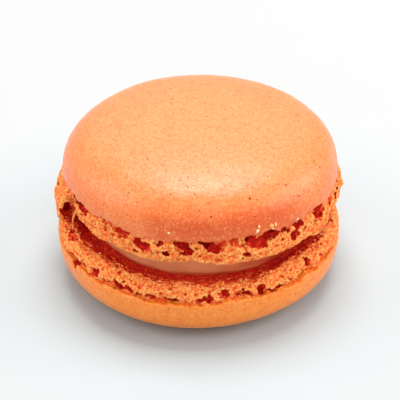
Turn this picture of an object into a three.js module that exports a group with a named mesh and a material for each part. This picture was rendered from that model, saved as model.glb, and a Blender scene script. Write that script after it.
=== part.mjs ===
// French macaron: two domed almond-meringue shells, each with its ruffled foot,
// sandwiched face to face on a round of cream filling.
//
// Millimetres, +Z up. The origin is the middle of the macaron's footprint, on the
// surface it lies on. -Y is the front, where the upper shell sits a little higher;
// at -X a lobe of the upper foot hangs out over the side.

import * as THREE from 'three';

// ---- driving dimensions (mm) --------------------------------------------------
const STEPS = 90;              // facets round each piece

const HEIGHT = 26.6;           // top of the upper dome, on its axis
const CROWN = 1.0;             // how much of that the rounder crown adds
const CROWN_RADIUS = 17;       // where the rounder crown begins
const SPOT_RADIUS = 9.0;       // flat spot the lower shell rests on
const SHIFT = [0.12, -0.05];   // brings the middle of the footprint onto the origin

const FILL_BOTTOM = 9.25;      // lower face of the filling, on the lower shell
const FILL_TOP = 14.5;         // upper face of the filling, under the upper shell
const FILL_RADIUS = 17.15;     // the filling stops well short of the feet

const UPPER = {
  crustRadius: 21.65,          // edge of the smooth crust
  crustHeight: 17.35,
  domeAround: 4.6,             // superellipse powers of the dome's section
  domeUp: 2.25,
  footRadius: 22.05,           // widest part of the ruffled foot
  lipRadius: 21.9,             // lower edge of the foot
  lipHeight: 14.5,
  lipLean: [-0.046, -0.008],   // the lower edge falls towards the right
  flatRadius: 18.6,            // flat inside face, against the filling
  lean: [0.006, -0.035],       // rise of the crust per millimetre along X and Y
  offset: [0.10, 0.90],        // sits a little back of the lower shell
};

const LOWER = {
  crustRadius: 22.46,
  crustHeight: 8.0,
  domeAround: 3.7,
  domeUp: 3.57,
  footRadius: 22.2,
  crestRadius: 20.3,           // highest ring of the foot, inside its rim
  crestRise: 2.6,              // crest above the crust's edge
  flatRadius: 17.75,
  lean: [-0.002, 0.014],
  offset: [-0.20, -0.40],
};

// The lobe of the upper foot that hangs out at the left, a little to the front.
const FLAP = { angle: -2.894, spread: 0.14, out: 1.95, down: 2.0 };

// ---- uneven edges: sums of a few waves that close on themselves ------------------
function waves(terms) {
  return (angle) => terms.reduce((sum, [count, size, phase]) => sum + size * Math.cos(count * angle + phase), 0);
}

const upperFootOut = waves([[1, 0.30, 0.0], [5, 0.07, 2.1], [9, 0.09, 5.0], [14, 0.11, 1.3], [19, 0.10, 3.9], [23, 0.08, 0.2]]);
const upperLipDrop = waves([[3, 0.08, 1.1], [7, 0.11, 4.4], [13, 0.12, 2.6], [20, 0.10, 0.9]]);
const upperGroove = waves([[6, 0.14, 3.3], [11, 0.18, 0.7], [17, 0.20, 5.5], [25, 0.14, 2.0]]);
const lowerFootOut = waves([[2, 0.05, 5.2], [6, 0.08, 1.9], [10, 0.11, 3.0], [15, 0.12, 4.6], [21, 0.10, 0.8]]);
const lowerCrest = waves([[4, 0.12, 2.2], [8, 0.12, 0.3], [13, 0.14, 3.7], [18, 0.10, 5.9]]);
const lowerGroove = waves([[5, 0.10, 0.5], [12, 0.14, 2.9], [18, 0.14, 4.1], [26, 0.10, 1.2]]);
const upperCrustOut = waves([[2, 0.06, 0.9], [3, 0.05, 2.4], [5, 0.04, 4.0]]);
const lowerCrustOut = waves([[2, 0.07, 5.6], [3, 0.09, 0.5], [5, 0.05, 2.9]]);
const fillOut = waves([[2, 0.10, 1.6], [3, 0.08, 4.1], [7, 0.05, 0.6]]);

function flapAt(angle) {
  let away = angle - FLAP.angle;
  away -= 2 * Math.PI * Math.round(away / (2 * Math.PI));
  return Math.exp(-(away * away) / (2 * FLAP.spread * FLAP.spread));
}

function ramp(low, high, value) {
  const t = Math.min(1, Math.max(0, (value - low) / (high - low)));
  return t * t * (3 - 2 * t);
}

function leaning(lean, r, angle) {
  return r * (lean[0] * Math.cos(angle) + lean[1] * Math.sin(angle));
}

// ---- a turned solid whose rows are then pushed about ------------------------------
// rows run from the lower end of the axis to its upper end; place(row, angle) gives
// the row's radius and height at that angle.
function turned(rows, place, offset) {
  const geometry = new THREE.LatheGeometry(rows.map((row) => new THREE.Vector2(row.r, row.z)), STEPS);
  geometry.rotateX(Math.PI / 2);
  const position = geometry.getAttribute('position');
  for (let i = 0; i < position.count; i++) {
    const row = rows[i % rows.length];
    const angle = (2 * Math.PI * (Math.floor(i / rows.length) % STEPS)) / STEPS - Math.PI / 2;
    const at = row.r === 0 ? { r: 0, z: row.z } : place(row, angle);
    position.setXYZ(
      i,
      at.r * Math.cos(angle) + offset[0] + SHIFT[0],
      at.r * Math.sin(angle) + offset[1] + SHIFT[1],
      at.z,
    );
  }
  geometry.computeVertexNormals();
  return geometry;
}

// Section of a dome, from its crust's edge to the axis: a superellipse.
function domeRows(radius, rise, around, up, count) {
  const rows = [];
  for (let i = 0; i <= count; i++) {
    const a = (i / count) * (Math.PI / 2);
    rows.push({
      r: i === count ? 0 : radius * Math.pow(Math.cos(a), 2 / around),
      z: rise * Math.pow(Math.sin(a), 2 / up),
    });
  }
  return rows;
}

// The crown stands up from the superellipse in one soft, round swell.
function crownAt(r) {
  return r < CROWN_RADIUS ? CROWN * (1 - (r / CROWN_RADIUS) ** 2) ** 2 : 0;
}

// ---- upper shell -------------------------------------------------------------------
// Inside rows run from the flat face to the lip; foot rows climb from the lip (t = 0)
// to the underside of the crust (t = 1); then comes the dome.
const upperRows = [
  { r: 0, z: FILL_TOP },
  { r: UPPER.flatRadius, z: FILL_TOP },
  { r: 19.4, z: FILL_TOP - 0.20, lip: 0.25, flap: 0.2 },
  { r: 20.5, z: FILL_TOP - 0.36, lip: 0.65, flap: 0.5, out: 0.3 },
  { r: 21.4, z: FILL_TOP - 0.25, lip: 0.95, flap: 0.9, out: 0.7 },
  { r: UPPER.lipRadius, t: 0, lip: 1.0, flap: 1.0, out: 1.0 },
  { r: UPPER.footRadius + 0.05, t: 0.24, flap: 0.85, out: 1.1 },
  { r: UPPER.footRadius, t: 0.50, flap: 0.5, out: 1.0 },
  { r: 21.75, t: 0.70, flap: 0.2, out: 0.7 },
  { r: 20.95, t: 0.84, groove: 1.0 },
  { r: 20.85, t: 0.93, groove: 1.0 },
  { r: 21.35, t: 1.0, crust: 1.0 },
  ...domeRows(UPPER.crustRadius, HEIGHT - CROWN - UPPER.crustHeight, UPPER.domeAround, UPPER.domeUp, 10).map((row) => ({
    r: row.r, z: UPPER.crustHeight + row.z + crownAt(row.r), crust: row.r / UPPER.crustRadius, dome: true,
  })),
].map((row) => ({ ...row, z: row.z ?? UPPER.lipHeight + row.t * (UPPER.crustHeight - UPPER.lipHeight) }));

const upperGeometry = turned(upperRows, (row, angle) => {
  const flap = flapAt(angle) * (row.flap ?? 0);
  const r = row.r
    + upperFootOut(angle) * (row.out ?? 0)
    + upperGroove(angle) * (row.groove ?? 0)
    + upperCrustOut(angle) * (row.crust ?? 0)
    + FLAP.out * flap;
  const lip = upperLipDrop(angle) + leaning(UPPER.lipLean, UPPER.lipRadius, angle);
  let z = row.z - FLAP.down * flap;
  if (row.dome) z += leaning(UPPER.lean, row.r, angle);
  else if (row.t !== undefined) z += lip * (1 - row.t) + (leaning(UPPER.lean, UPPER.crustRadius, angle) - 0.2) * row.t;
  else z += lip * (row.lip ?? 0);
  return { r, z };
}, UPPER.offset);

// ---- filling -------------------------------------------------------------------------
const fillRows = [
  { r: 0, z: FILL_BOTTOM },
  { r: FILL_RADIUS - 0.25, z: FILL_BOTTOM },
  { r: FILL_RADIUS, z: FILL_BOTTOM + 0.5, out: 1 },
  { r: FILL_RADIUS + 0.12, z: 0.5 * (FILL_BOTTOM + FILL_TOP), out: 1 },
  { r: FILL_RADIUS + 0.05, z: FILL_TOP - 1.0, out: 1 },
  { r: FILL_RADIUS - 0.2, z: FILL_TOP, out: 0.3 },
  { r: 0, z: FILL_TOP },
];

const fillGeometry = turned(fillRows, (row, angle) => ({
  r: row.r + fillOut(angle) * (row.out ?? 0),
  z: row.z,
}), [-0.1, 0.1]);

// ---- lower shell: its dome is underneath, its foot on top ------------------------------
// Rows marked rise stand above the crust's edge and lean with it.
const lowerRows = [
  { r: 0, z: 0 },
  { r: SPOT_RADIUS, z: 0 },
  ...domeRows(LOWER.crustRadius, LOWER.crustHeight, LOWER.domeAround, LOWER.domeUp, 11)
    .filter((row) => row.r > SPOT_RADIUS + 2)
    .reverse()
    .map((row) => ({ r: row.r, z: LOWER.crustHeight - row.z, crust: row.r / LOWER.crustRadius })),
  { r: 22.15, rise: 0.22, crust: 1.0 },
  { r: 21.6, rise: 0.45, groove: 1.0 },
  { r: 21.7, rise: 0.75, groove: 0.7, out: 0.3 },
  { r: LOWER.footRadius, rise: 1.05, out: 1.0 },
  { r: 21.95, rise: 1.65, out: 1.0, crest: 0.5 },
  { r: 21.2, rise: 2.25, out: 0.6, crest: 1.0 },
  { r: LOWER.crestRadius, rise: LOWER.crestRise, crest: 1.0 },
  { r: 19.3, rise: 2.25, crest: 0.8 },
  { r: 18.5, rise: 1.6, crest: 0.3 },
  { r: LOWER.flatRadius, z: FILL_BOTTOM },
  { r: 0, z: FILL_BOTTOM },
].map((row) => ({ ...row, z: row.z ?? LOWER.crustHeight + row.rise }));

const lowerGeometry = turned(lowerRows, (row, angle) => {
  const r = row.r
    + lowerFootOut(angle) * (row.out ?? 0)
    + lowerGroove(angle) * (row.groove ?? 0)
    + lowerCrustOut(angle) * (row.crust ?? 0) * ramp(SPOT_RADIUS, 18, row.r);
  // the resting spot and the inside face stay level
  const share = row.rise !== undefined
    ? ramp(LOWER.flatRadius, 20.5, row.r)
    : (row.z === FILL_BOTTOM ? 0 : ramp(SPOT_RADIUS, 16, row.r));
  const z = row.z
    + lowerCrest(angle) * (row.crest ?? 0)
    + leaning(LOWER.lean, row.r, angle) * share;
  return { r, z: Math.max(0, z) };
}, LOWER.offset);

// ---- the macaron -------------------------------------------------------------------------
const shellMaterial = new THREE.MeshStandardMaterial({ color: 0xf5a364, roughness: 0.62, metalness: 0 });
const fillMaterial = new THREE.MeshStandardMaterial({ color: 0xe2a883, roughness: 0.42, metalness: 0 });

function piece(name, geometry, material) {
  const mesh = new THREE.Mesh(geometry, material);
  mesh.name = name;
  return mesh;
}

const group = new THREE.Group();
group.add(piece('lower_shell', lowerGeometry, shellMaterial));
group.add(piece('filling', fillGeometry, fillMaterial));
group.add(piece('upper_shell', upperGeometry, shellMaterial.clone()));

export default group;
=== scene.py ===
import math
import time

import bpy
import numpy as np
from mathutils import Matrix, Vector


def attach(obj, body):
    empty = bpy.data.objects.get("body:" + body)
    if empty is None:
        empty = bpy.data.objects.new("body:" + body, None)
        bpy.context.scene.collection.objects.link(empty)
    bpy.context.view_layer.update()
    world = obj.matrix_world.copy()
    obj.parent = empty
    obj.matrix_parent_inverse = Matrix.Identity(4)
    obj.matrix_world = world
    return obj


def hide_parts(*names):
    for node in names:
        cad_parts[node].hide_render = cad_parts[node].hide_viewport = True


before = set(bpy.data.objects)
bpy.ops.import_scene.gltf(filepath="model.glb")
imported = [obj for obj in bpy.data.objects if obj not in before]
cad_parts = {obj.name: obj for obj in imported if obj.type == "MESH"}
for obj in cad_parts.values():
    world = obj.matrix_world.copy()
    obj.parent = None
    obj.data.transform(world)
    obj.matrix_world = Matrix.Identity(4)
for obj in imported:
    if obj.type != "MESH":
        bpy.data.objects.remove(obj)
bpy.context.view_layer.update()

STARTED = time.time()
TAU = 2 * math.pi
MM = 0.001


def say(*words):
    print("[macaron %5.1fs]" % (time.time() - STARTED), *words, flush=True)


scene = bpy.context.scene

# =====================================================================================
# Camera: 35.5 degrees above level, looking along +Y
# =====================================================================================
SHIFT = (0.12, -0.05)                  # the CAD model's own shift onto the middle of its footprint, mm
ELEVATION = math.radians(35.51)
DISTANCE = 300.0
aim = Vector((SHIFT[0], SHIFT[1], 10.5))
cam_up = Vector((0, math.sin(ELEVATION), math.cos(ELEVATION)))
cam_back = Vector((0, -math.cos(ELEVATION), math.sin(ELEVATION)))
aim += 0.678 * cam_up + 0.039 * Vector((1, 0, 0))

cam_data = bpy.data.cameras.new("camera")
cam_data.sensor_width = 36.0
cam_data.lens = 36.0 * DISTANCE * 6.26 / 400.0
cam_data.clip_start = 0.01
cam_data.clip_end = 20.0
camera = bpy.data.objects.new("camera", cam_data)
camera.location = (aim + DISTANCE * cam_back) * MM
camera.rotation_euler = (math.pi / 2 - ELEVATION, 0, 0)
scene.collection.objects.link(camera)
scene.camera = camera


# =====================================================================================
# Small tools
# =====================================================================================
def ramp(low, high, value):
    t = np.clip((value - low) / (high - low), 0.0, 1.0)
    return t * t * (3 - 2 * t)


def smin(a, b, k):
    h = np.clip(0.5 + 0.5 * (b - a) / k, 0.0, 1.0)
    return b * (1 - h) + a * h - k * h * (1 - h)


def smax(a, b, k):
    return -smin(-a, -b, k)


def waves(terms):
    def at(angle):
        return sum(size * np.cos(count * angle + phase) for count, size, phase in terms)
    return at


def through(knots):
    """A smooth closed curve through (degrees, value) pairs, as a function of the angle in radians."""
    knots = sorted(knots)
    x = np.radians([k[0] for k in knots])
    y = np.array([k[1] for k in knots], float)
    x = np.concatenate([[x[-1] - TAU], x, [x[0] + TAU, x[1] + TAU]])
    y = np.concatenate([[y[-1]], y, [y[0], y[1]]])
    slope = np.zeros(len(x))
    d = np.diff(y) / np.diff(x)
    same = d[1:] * d[:-1] > 0
    slope[1:-1][same] = 2 * d[1:][same] * d[:-1][same] / (d[1:][same] + d[:-1][same])
    slope[0], slope[-1] = d[0], d[-1]

    def at(angle):
        a = x[1] + np.mod(np.asarray(angle) - x[1], TAU)
        i = np.clip(np.searchsorted(x, a, side="right") - 1, 0, len(x) - 2)
        h = x[i + 1] - x[i]
        t = (a - x[i]) / h
        return ((2 * t**3 - 3 * t**2 + 1) * y[i] + (t**3 - 2 * t**2 + t) * h * slope[i]
                + (-2 * t**3 + 3 * t**2) * y[i + 1] + (t**3 - t**2) * h * slope[i + 1])
    return at


def wobble(seed, terms):
    """Random closed waves: terms are (lowest count, highest count, size)."""
    rng = np.random.default_rng(seed)
    parts = []
    for low, high, size in terms:
        n = high - low + 1
        for count in range(low, high + 1):
            parts.append((count, size * rng.normal() / math.sqrt(n / 2), rng.uniform(0, TAU)))
    return waves(parts)


def lattice(points, size, seed):
    """Smooth random values, about 1 in size, at points, with features about size across."""
    n = 32
    grid = np.random.default_rng(seed).standard_normal((n, n, n)).astype(np.float32)
    p = points / size + 7.3
    i = np.floor(p).astype(int)
    t = (p - i)
    t = t * t * t * (t * (6 * t - 15) + 10)
    out = 0
    for dx in (0, 1):
        wx = t[:, 0] if dx else 1 - t[:, 0]
        for dy in (0, 1):
            wy = t[:, 1] if dy else 1 - t[:, 1]
            for dz in (0, 1):
                wz = t[:, 2] if dz else 1 - t[:, 2]
                out = out + wx * wy * wz * grid[(i[:, 0] + dx) % n, (i[:, 1] + dy) % n, (i[:, 2] + dz) % n]
    return out * 1.7


def spread(n_out, n_knots, wraps):
    """The matrix that spreads n_knots values over n_out samples by cubic B-splines."""
    if wraps:
        x = np.arange(n_out) * (n_knots / n_out)
    else:
        x = np.arange(n_out) * ((n_knots - 3 - 1e-6) / max(1, n_out - 1))
    i = np.floor(x).astype(int)
    t = x - i
    w = [(1 - t)**3 / 6, (3 * t**3 - 6 * t**2 + 4) / 6, (-3 * t**3 + 3 * t**2 + 3 * t + 1) / 6, t**3 / 6]
    m = np.zeros((n_out, n_knots), np.float32)
    for k in range(4):
        col = (i + k) % n_knots if wraps else np.minimum(i + k, n_knots - 1)
        np.add.at(m, (np.arange(n_out), col), w[k])
    return m


# =====================================================================================
# A ring-shaped block of space round the foot, in steps of angle, radius and height
# =====================================================================================
class Ring:
    def __init__(self, steps, r0, r1, z0, z1, step):
        self.steps = steps
        self.step = step
        self.theta = np.arange(steps) * (TAU / steps)
        self.r = r0 + np.arange(int(round((r1 - r0) / step)) + 1) * step
        self.z = z0 + np.arange(int(round((z1 - z0) / step)) + 1) * step
        self.T = self.theta[:, None, None]
        self.R = self.r[None, :, None]
        self.Z = self.z[None, None, :]
        self.shape = (steps, len(self.r), len(self.z))

    def cloud(self, seed, arc, deep, tall):
        """A smooth random field about 1 in size, its features arc x deep x tall mm."""
        rng = np.random.default_rng(seed)
        nt = max(5, int(round(TAU * 21.5 / arc)))
        nr = max(4, int(math.ceil((self.r[-1] - self.r[0]) / deep)) + 3)
        nz = max(4, int(math.ceil((self.z[-1] - self.z[0]) / tall)) + 3)
        k = rng.standard_normal((nt, nr, nz)).astype(np.float32)
        k = np.tensordot(spread(self.shape[2], nz, False), k, (1, 2))      # z, t, r
        k = np.tensordot(spread(self.shape[1], nr, False), k, (1, 2))      # r, z, t
        k = np.tensordot(spread(self.steps, nt, True), k, (1, 2))          # t, r, z
        return (k / k.std()).astype(np.float32)

    def carve(self, f, angle, r0, z0, arc, deep, tall, soft, grain=None):
        """Cuts an ellipsoid hollow into f, its rim rounded by soft."""
        pad = soft * 1.5 + self.step
        dt = TAU / self.steps
        a0 = int(math.floor((angle - (arc + pad) / r0) / dt))
        a1 = int(math.ceil((angle + (arc + pad) / r0) / dt))
        j0 = max(0, int((r0 - deep - pad - self.r[0]) / self.step))
        j1 = min(self.shape[1], int((r0 + deep + pad - self.r[0]) / self.step) + 2)
        k0 = max(0, int((z0 - tall - pad - self.z[0]) / self.step))
        k1 = min(self.shape[2], int((z0 + tall + pad - self.z[0]) / self.step) + 2)
        if j1 <= j0 or k1 <= k0:
            return
        steps = np.arange(a0, a1 + 1)
        idx = steps % self.steps
        rr = self.r[j0:j1][None, :, None]
        along = (steps * dt - angle)[:, None, None] * rr
        q = np.sqrt((along / arc)**2 + ((rr - r0) / deep)**2 + ((self.z[k0:k1][None, None, :] - z0) / tall)**2)
        d = (q - 1) * min(arc, deep, tall)
        if grain is not None:
            d = d + grain[idx, j0:j1, k0:k1]
        f[idx, j0:j1, k0:k1] = smax(f[idx, j0:j1, k0:k1], -d, soft)

    def blur(self, solid, reach):
        """The share of solid in a box of +-reach mm round every point."""
        out = solid
        for axis, n in ((0, max(1, int(round(reach / (TAU * 21.5 / self.steps))))), (1, max(1, int(round(reach / self.step)))), (2, max(1, int(round(reach / self.step))))):
            mode = "wrap" if axis == 0 else "edge"
            pads = [(0, 0)] * 3
            pads[axis] = (n + 1, n)
            c = np.cumsum(np.pad(out, pads, mode=mode), axis=axis, dtype=np.float64)
            hi = [slice(None)] * 3
            lo = [slice(None)] * 3
            hi[axis] = slice(2 * n + 1, None)
            lo[axis] = slice(0, -(2 * n + 1))
            out = ((c[tuple(hi)] - c[tuple(lo)]) / (2 * n + 1)).astype(np.float32)
        return out


CORNERS = [(a, b, c) for a in (0, 1) for b in (0, 1) for c in (0, 1)]
EDGES = [(p, q) for p in range(8) for q in range(p + 1, 8)
         if sum(abs(CORNERS[p][k] - CORNERS[q][k]) for k in range(3)) == 1]


def surface(ring, f):
    """The surface where f is 0, as points in grid steps (angle, radius, height) and quads. f is under 0 inside."""
    steps, nr, nz = ring.shape
    g = np.concatenate([f, f[:1]], 0)
    neg = (g < 0)
    count = np.zeros((steps, nr - 1, nz - 1), np.int8)
    for a, b, c in CORNERS:
        count += neg[a:a + steps, b:b + nr - 1, c:c + nz - 1]
    cells = np.argwhere((count > 0) & (count < 8))
    number = np.full((steps, nr - 1, nz - 1), -1, np.int64)
    number[tuple(cells.T)] = np.arange(len(cells))
    v = np.stack([g[cells[:, 0] + a, cells[:, 1] + b, cells[:, 2] + c] for a, b, c in CORNERS], 1).astype(np.float64)
    total = np.zeros((len(cells), 3))
    hits = np.zeros(len(cells))
    for p, q in EDGES:
        cross = (v[:, p] < 0) != (v[:, q] < 0)
        t = np.where(cross, v[:, p] / np.where(cross, v[:, p] - v[:, q], 1), 0)
        cp, cq = np.array(CORNERS[p], float), np.array(CORNERS[q], float)
        total += np.where(cross[:, None], cp + t[:, None] * (cq - cp), 0)
        hits += cross
    points = cells + total / hits[:, None]
    quads = []
    # edges along the radius
    a, b = neg[:steps, :-1, 1:-1], neg[:steps, 1:, 1:-1]
    i, j, k = np.nonzero(a != b)
    k = k + 1
    quads.append((number[(i - 1) % steps, j, k - 1], number[i, j, k - 1], number[i, j, k], number[(i - 1) % steps, j, k], neg[i, j, k]))
    # edges along the angle
    a, b = neg[:steps, 1:-1, 1:-1], neg[1:, 1:-1, 1:-1]
    i, j, k = np.nonzero(a != b)
    j, k = j + 1, k + 1
    quads.append((number[i, j - 1, k - 1], number[i, j - 1, k], number[i, j, k], number[i, j, k - 1], neg[i, j, k]))
    # edges along the height
    a, b = neg[:steps, 1:-1, :-1], neg[:steps, 1:-1, 1:]
    i, j, k = np.nonzero(a != b)
    j = j + 1
    quads.append((number[(i - 1) % steps, j - 1, k], number[(i - 1) % steps, j, k], number[i, j, k], number[i, j - 1, k], neg[i, j, k]))
    out = []
    for q0, q1, q2, q3, first_in in quads:
        q = np.stack([q0, q1, q2, q3], 1)
        q[~first_in] = q[~first_in][:, ::-1]
        out.append(q)
    return points, np.concatenate(out)


def sample(ring, field, points):
    """field at points given in grid steps."""
    steps, nr, nz = ring.shape
    i = np.floor(points).astype(int)
    i[:, 1] = np.clip(i[:, 1], 0, nr - 2)
    i[:, 2] = np.clip(i[:, 2], 0, nz - 2)
    t = points - i
    out = np.zeros(len(points))
    for a, b, c in CORNERS:
        w = (t[:, 0] if a else 1 - t[:, 0]) * (t[:, 1] if b else 1 - t[:, 1]) * (t[:, 2] if c else 1 - t[:, 2])
        out += w * field[(i[:, 0] + a) % steps, i[:, 1] + b, i[:, 2] + c]
    return out


def largest(n, faces):
    """Which of n points belong to the largest connected piece."""
    e = np.concatenate([faces[:, [0, 1]], faces[:, [1, 2]], faces[:, [2, 3]]])
    lab = np.arange(n)
    while True:
        a, b = lab[e[:, 0]], lab[e[:, 1]]
        m = np.minimum(a, b)
        new = lab.copy()
        np.minimum.at(new, a, m)
        np.minimum.at(new, b, m)
        new = new[new]
        new = new[new]
        if (new == lab).all():
            break
        lab = new
    names, sizes = np.unique(lab, return_counts=True)
    return lab == names[sizes.argmax()]


def open_loops(quads):
    """The closed chains of points along the open edges of a quad mesh."""
    a = quads.ravel()
    b = np.roll(quads, -1, 1).ravel()
    key = a * (1 << 32) + b
    back = b * (1 << 32) + a
    alone = ~np.isin(key, back)
    after = dict(zip(a[alone].tolist(), b[alone].tolist()))
    loops = []
    while after:
        start = next(iter(after))
        loop = [start]
        nxt = after.pop(start)
        while nxt != start and nxt in after:
            loop.append(nxt)
            nxt = after.pop(nxt)
        loops.append(np.array(loop))
    return loops


class Build:
    """Points with their attributes, quads and triangles, joined ring by ring."""

    def __init__(self, xyz, quads, **marks):
        self.xyz = [xyz]
        self.n = len(xyz)
        self.quads = [quads]
        self.tris = []
        self.marks = {k: [v] for k, v in marks.items()}

    def add(self, xyz, **marks):
        first = self.n
        self.xyz.append(xyz)
        self.n += len(xyz)
        for k in self.marks:
            self.marks[k].append(np.broadcast_to(np.asarray(marks[k], float), (len(xyz),)))
        return np.arange(first, self.n)

    def zip(self, a, angle_a, b, angle_b, flip):
        """Triangles between two rings of points, a and b, each in order of rising angle."""
        sa, sb = np.argmin(np.mod(angle_a, TAU)), np.argmin(np.mod(angle_b, TAU))
        a, b = np.roll(a, -sa), np.roll(b, -sb)
        ta = np.maximum.accumulate(np.unwrap(np.mod(np.roll(angle_a, -sa), TAU)))
        tb = np.maximum.accumulate(np.unwrap(np.mod(np.roll(angle_b, -sb), TAU)))
        ta = np.append(ta, ta[0] + TAU).tolist()
        tb = np.append(tb, tb[0] + TAU).tolist()
        a, b = np.append(a, a[0]).tolist(), np.append(b, b[0]).tolist()
        i = j = 0
        out = []
        while i < len(a) - 1 or j < len(b) - 1:
            if j == len(b) - 1 or (i < len(a) - 1 and ta[i + 1] + ta[i] <= tb[j + 1] + tb[j]):
                out.append((a[i], a[i + 1], b[j]))
                i += 1
            else:
                out.append((a[i], b[j + 1], b[j]))
                j += 1
        out = np.array(out)
        self.tris.append(out[:, ::-1] if flip else out)

    def band(self, a, b, flip):
        """Quads between two rings of the same count."""
        q = np.stack([a, np.roll(a, -1), np.roll(b, -1), b], 1)
        self.quads.append(q[:, ::-1] if flip else q)

    def fan(self, a, tip, flip):
        t = np.stack([a, np.roll(a, -1), np.full(len(a), tip)], 1)
        self.tris.append(t[:, ::-1] if flip else t)

    def arrays(self):
        xyz = np.concatenate(self.xyz)
        quads = np.concatenate(self.quads)
        tris = np.concatenate(self.tris) if self.tris else np.zeros((0, 3), int)
        marks = {k: np.concatenate(v) for k, v in self.marks.items()}
        return xyz, quads, tris, marks


def normals_of(xyz, quads, tris):
    n = np.zeros_like(xyz)
    fn = np.cross(xyz[quads[:, 2]] - xyz[quads[:, 0]], xyz[quads[:, 3]] - xyz[quads[:, 1]])
    for k in range(4):
        np.add.at(n, quads[:, k], fn)
    if len(tris):
        fn = np.cross(xyz[tris[:, 1]] - xyz[tris[:, 0]], xyz[tris[:, 2]] - xyz[tris[:, 0]])
        for k in range(3):
            np.add.at(n, tris[:, k], fn)
    return n / np.maximum(np.linalg.norm(n, axis=1, keepdims=True), 1e-12)


def mesh_object(name, xyz, quads, tris, marks_at=None, most=None):
    """An object of the given points and faces in mm; with most, cut down to that many triangles first."""
    me = bpy.data.meshes.new(name)
    used = np.zeros(len(xyz), bool)
    used[quads.ravel()] = True
    used[tris.ravel()] = True
    renum = np.cumsum(used) - 1
    pts = xyz[used]
    loops = np.concatenate([renum[quads].ravel(), renum[tris].ravel()]).astype(np.int32)
    starts = np.concatenate([np.arange(len(quads)) * 4, len(quads) * 4 + np.arange(len(tris)) * 3]).astype(np.int32)
    me.vertices.add(len(pts))
    me.vertices.foreach_set("co", pts.astype(np.float32).ravel())
    me.loops.add(len(loops))
    me.loops.foreach_set("vertex_index", loops)
    me.polygons.add(len(starts))
    me.polygons.foreach_set("loop_start", starts)
    me.update(calc_edges=True)
    me.validate()
    ob = bpy.data.objects.new(name, me)
    scene.collection.objects.link(ob)
    count = 2 * len(quads) + len(tris)
    if most and count > most:
        slim = ob.modifiers.new("slim", "DECIMATE")
        slim.ratio = most / count
        less = bpy.data.meshes.new_from_object(ob.evaluated_get(bpy.context.evaluated_depsgraph_get()))
        ob.modifiers.clear()
        ob.data = less
        bpy.data.meshes.remove(me)
        me = less
        me.name = name
    me.polygons.foreach_set("use_smooth", np.ones(len(me.polygons), bool))
    pts = np.empty(len(me.vertices) * 3, np.float32)
    me.vertices.foreach_get("co", pts)
    pts = pts.reshape(-1, 3).astype(np.float64)
    if marks_at is not None:
        n = np.empty(len(me.vertices) * 3, np.float32)
        me.vertices.foreach_get("normal", n)
        for key, values in marks_at(pts, n.reshape(-1, 3).astype(np.float64)).items():
            at = me.attributes.new(key, "FLOAT", "POINT")
            at.data.foreach_set("value", np.ascontiguousarray(values, np.float32))
    me.vertices.foreach_set("co", (pts * MM).astype(np.float32).ravel())
    me.update()
    say(name, len(me.vertices), "points", sum(len(q.vertices) - 2 for q in me.polygons), "triangles")
    return ob


# =====================================================================================
# Sizes, in mm: the same as in the CAD model
# =====================================================================================
HEIGHT = 26.6
CROWN, CROWN_R = 1.0, 17.0                # the rounder crown of the upper dome
FILL_BOTTOM, FILL_TOP, FILL_RADIUS = 9.25, 14.5, 17.15

UP_R, UP_Z = 21.65, 17.35                 # upper crust's edge
UP_AROUND, UP_UP = 4.6, 2.25
UP_FOOT, UP_LIP = 22.05, 14.5
UP_LEAN, UP_LIP_LEAN = (0.006, -0.035), (-0.046, -0.008)
UP_AT = (0.10 + SHIFT[0], 0.90 + SHIFT[1])
UP_RISE = HEIGHT - CROWN - UP_Z           # of the dome without its crown

LOW_R, LOW_Z = 22.46, 8.0                 # lower crust's edge
LOW_AROUND, LOW_UP = 3.7, 3.57
LOW_FOOT, LOW_CREST_R, LOW_CREST = 22.2, 20.3, 2.6
LOW_LEAN = (-0.002, 0.014)
LOW_AT = (-0.20 + SHIFT[0], -0.40 + SHIFT[1])
SPOT = 9.0

LOBE_FRONT, LOBE_BACK = math.radians(-163.0), math.radians(-188.0)   # a lobe of the upper foot hangs here
LOBE_OUT, LOBE_DOWN = 1.65, 4.7

up_foot_out = waves([(1, 0.30, 0.0), (5, 0.07, 2.1), (9, 0.09, 5.0), (14, 0.11, 1.3), (19, 0.10, 3.9), (23, 0.08, 0.2)])
up_lip_drop = waves([(3, 0.08, 1.1), (7, 0.11, 4.4), (13, 0.12, 2.6), (20, 0.10, 0.9)])
low_foot_out = waves([(2, 0.05, 5.2), (6, 0.08, 1.9), (10, 0.11, 3.0), (15, 0.12, 4.6), (21, 0.10, 0.8)])
low_crest = waves([(4, 0.12, 2.2), (8, 0.12, 0.3), (13, 0.14, 3.7), (18, 0.10, 5.9)])
up_crust_out = waves([(2, 0.06, 0.9), (3, 0.05, 2.4), (5, 0.04, 4.0)])
low_crust_out = waves([(2, 0.07, 5.6), (3, 0.09, 0.5), (5, 0.05, 2.9)])
fill_out = waves([(2, 0.10, 1.6), (3, 0.08, 4.1), (7, 0.05, 0.6)])

# How the broken edges run above or below their mean, by angle, and their finer raggedness.
up_edge = through([(-175, -0.20), (-166, 0.45), (-158, 0.78), (-150.5, 0.58), (-144.4, 0.78), (-140.5, 0.43), (-136.7, 0.52),
                   (-131, 0.72), (-126.7, 0.75), (-121.5, 0.0), (-118, -0.22), (-108, 0.05),
                   (-97, 0.30), (-86, 0.25), (-71, 0.38), (-56, -0.35), (-47, 0.25), (-38, 0.45), (-27, 0.05),
                   (-5, -0.15), (20, 0.20), (45, -0.25), (75, 0.15), (105, -0.20), (135, 0.25), (160, -0.10)])
up_edge_fine = wobble(11, [(18, 40, 0.09), (41, 110, 0.08), (111, 200, 0.05)])
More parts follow.
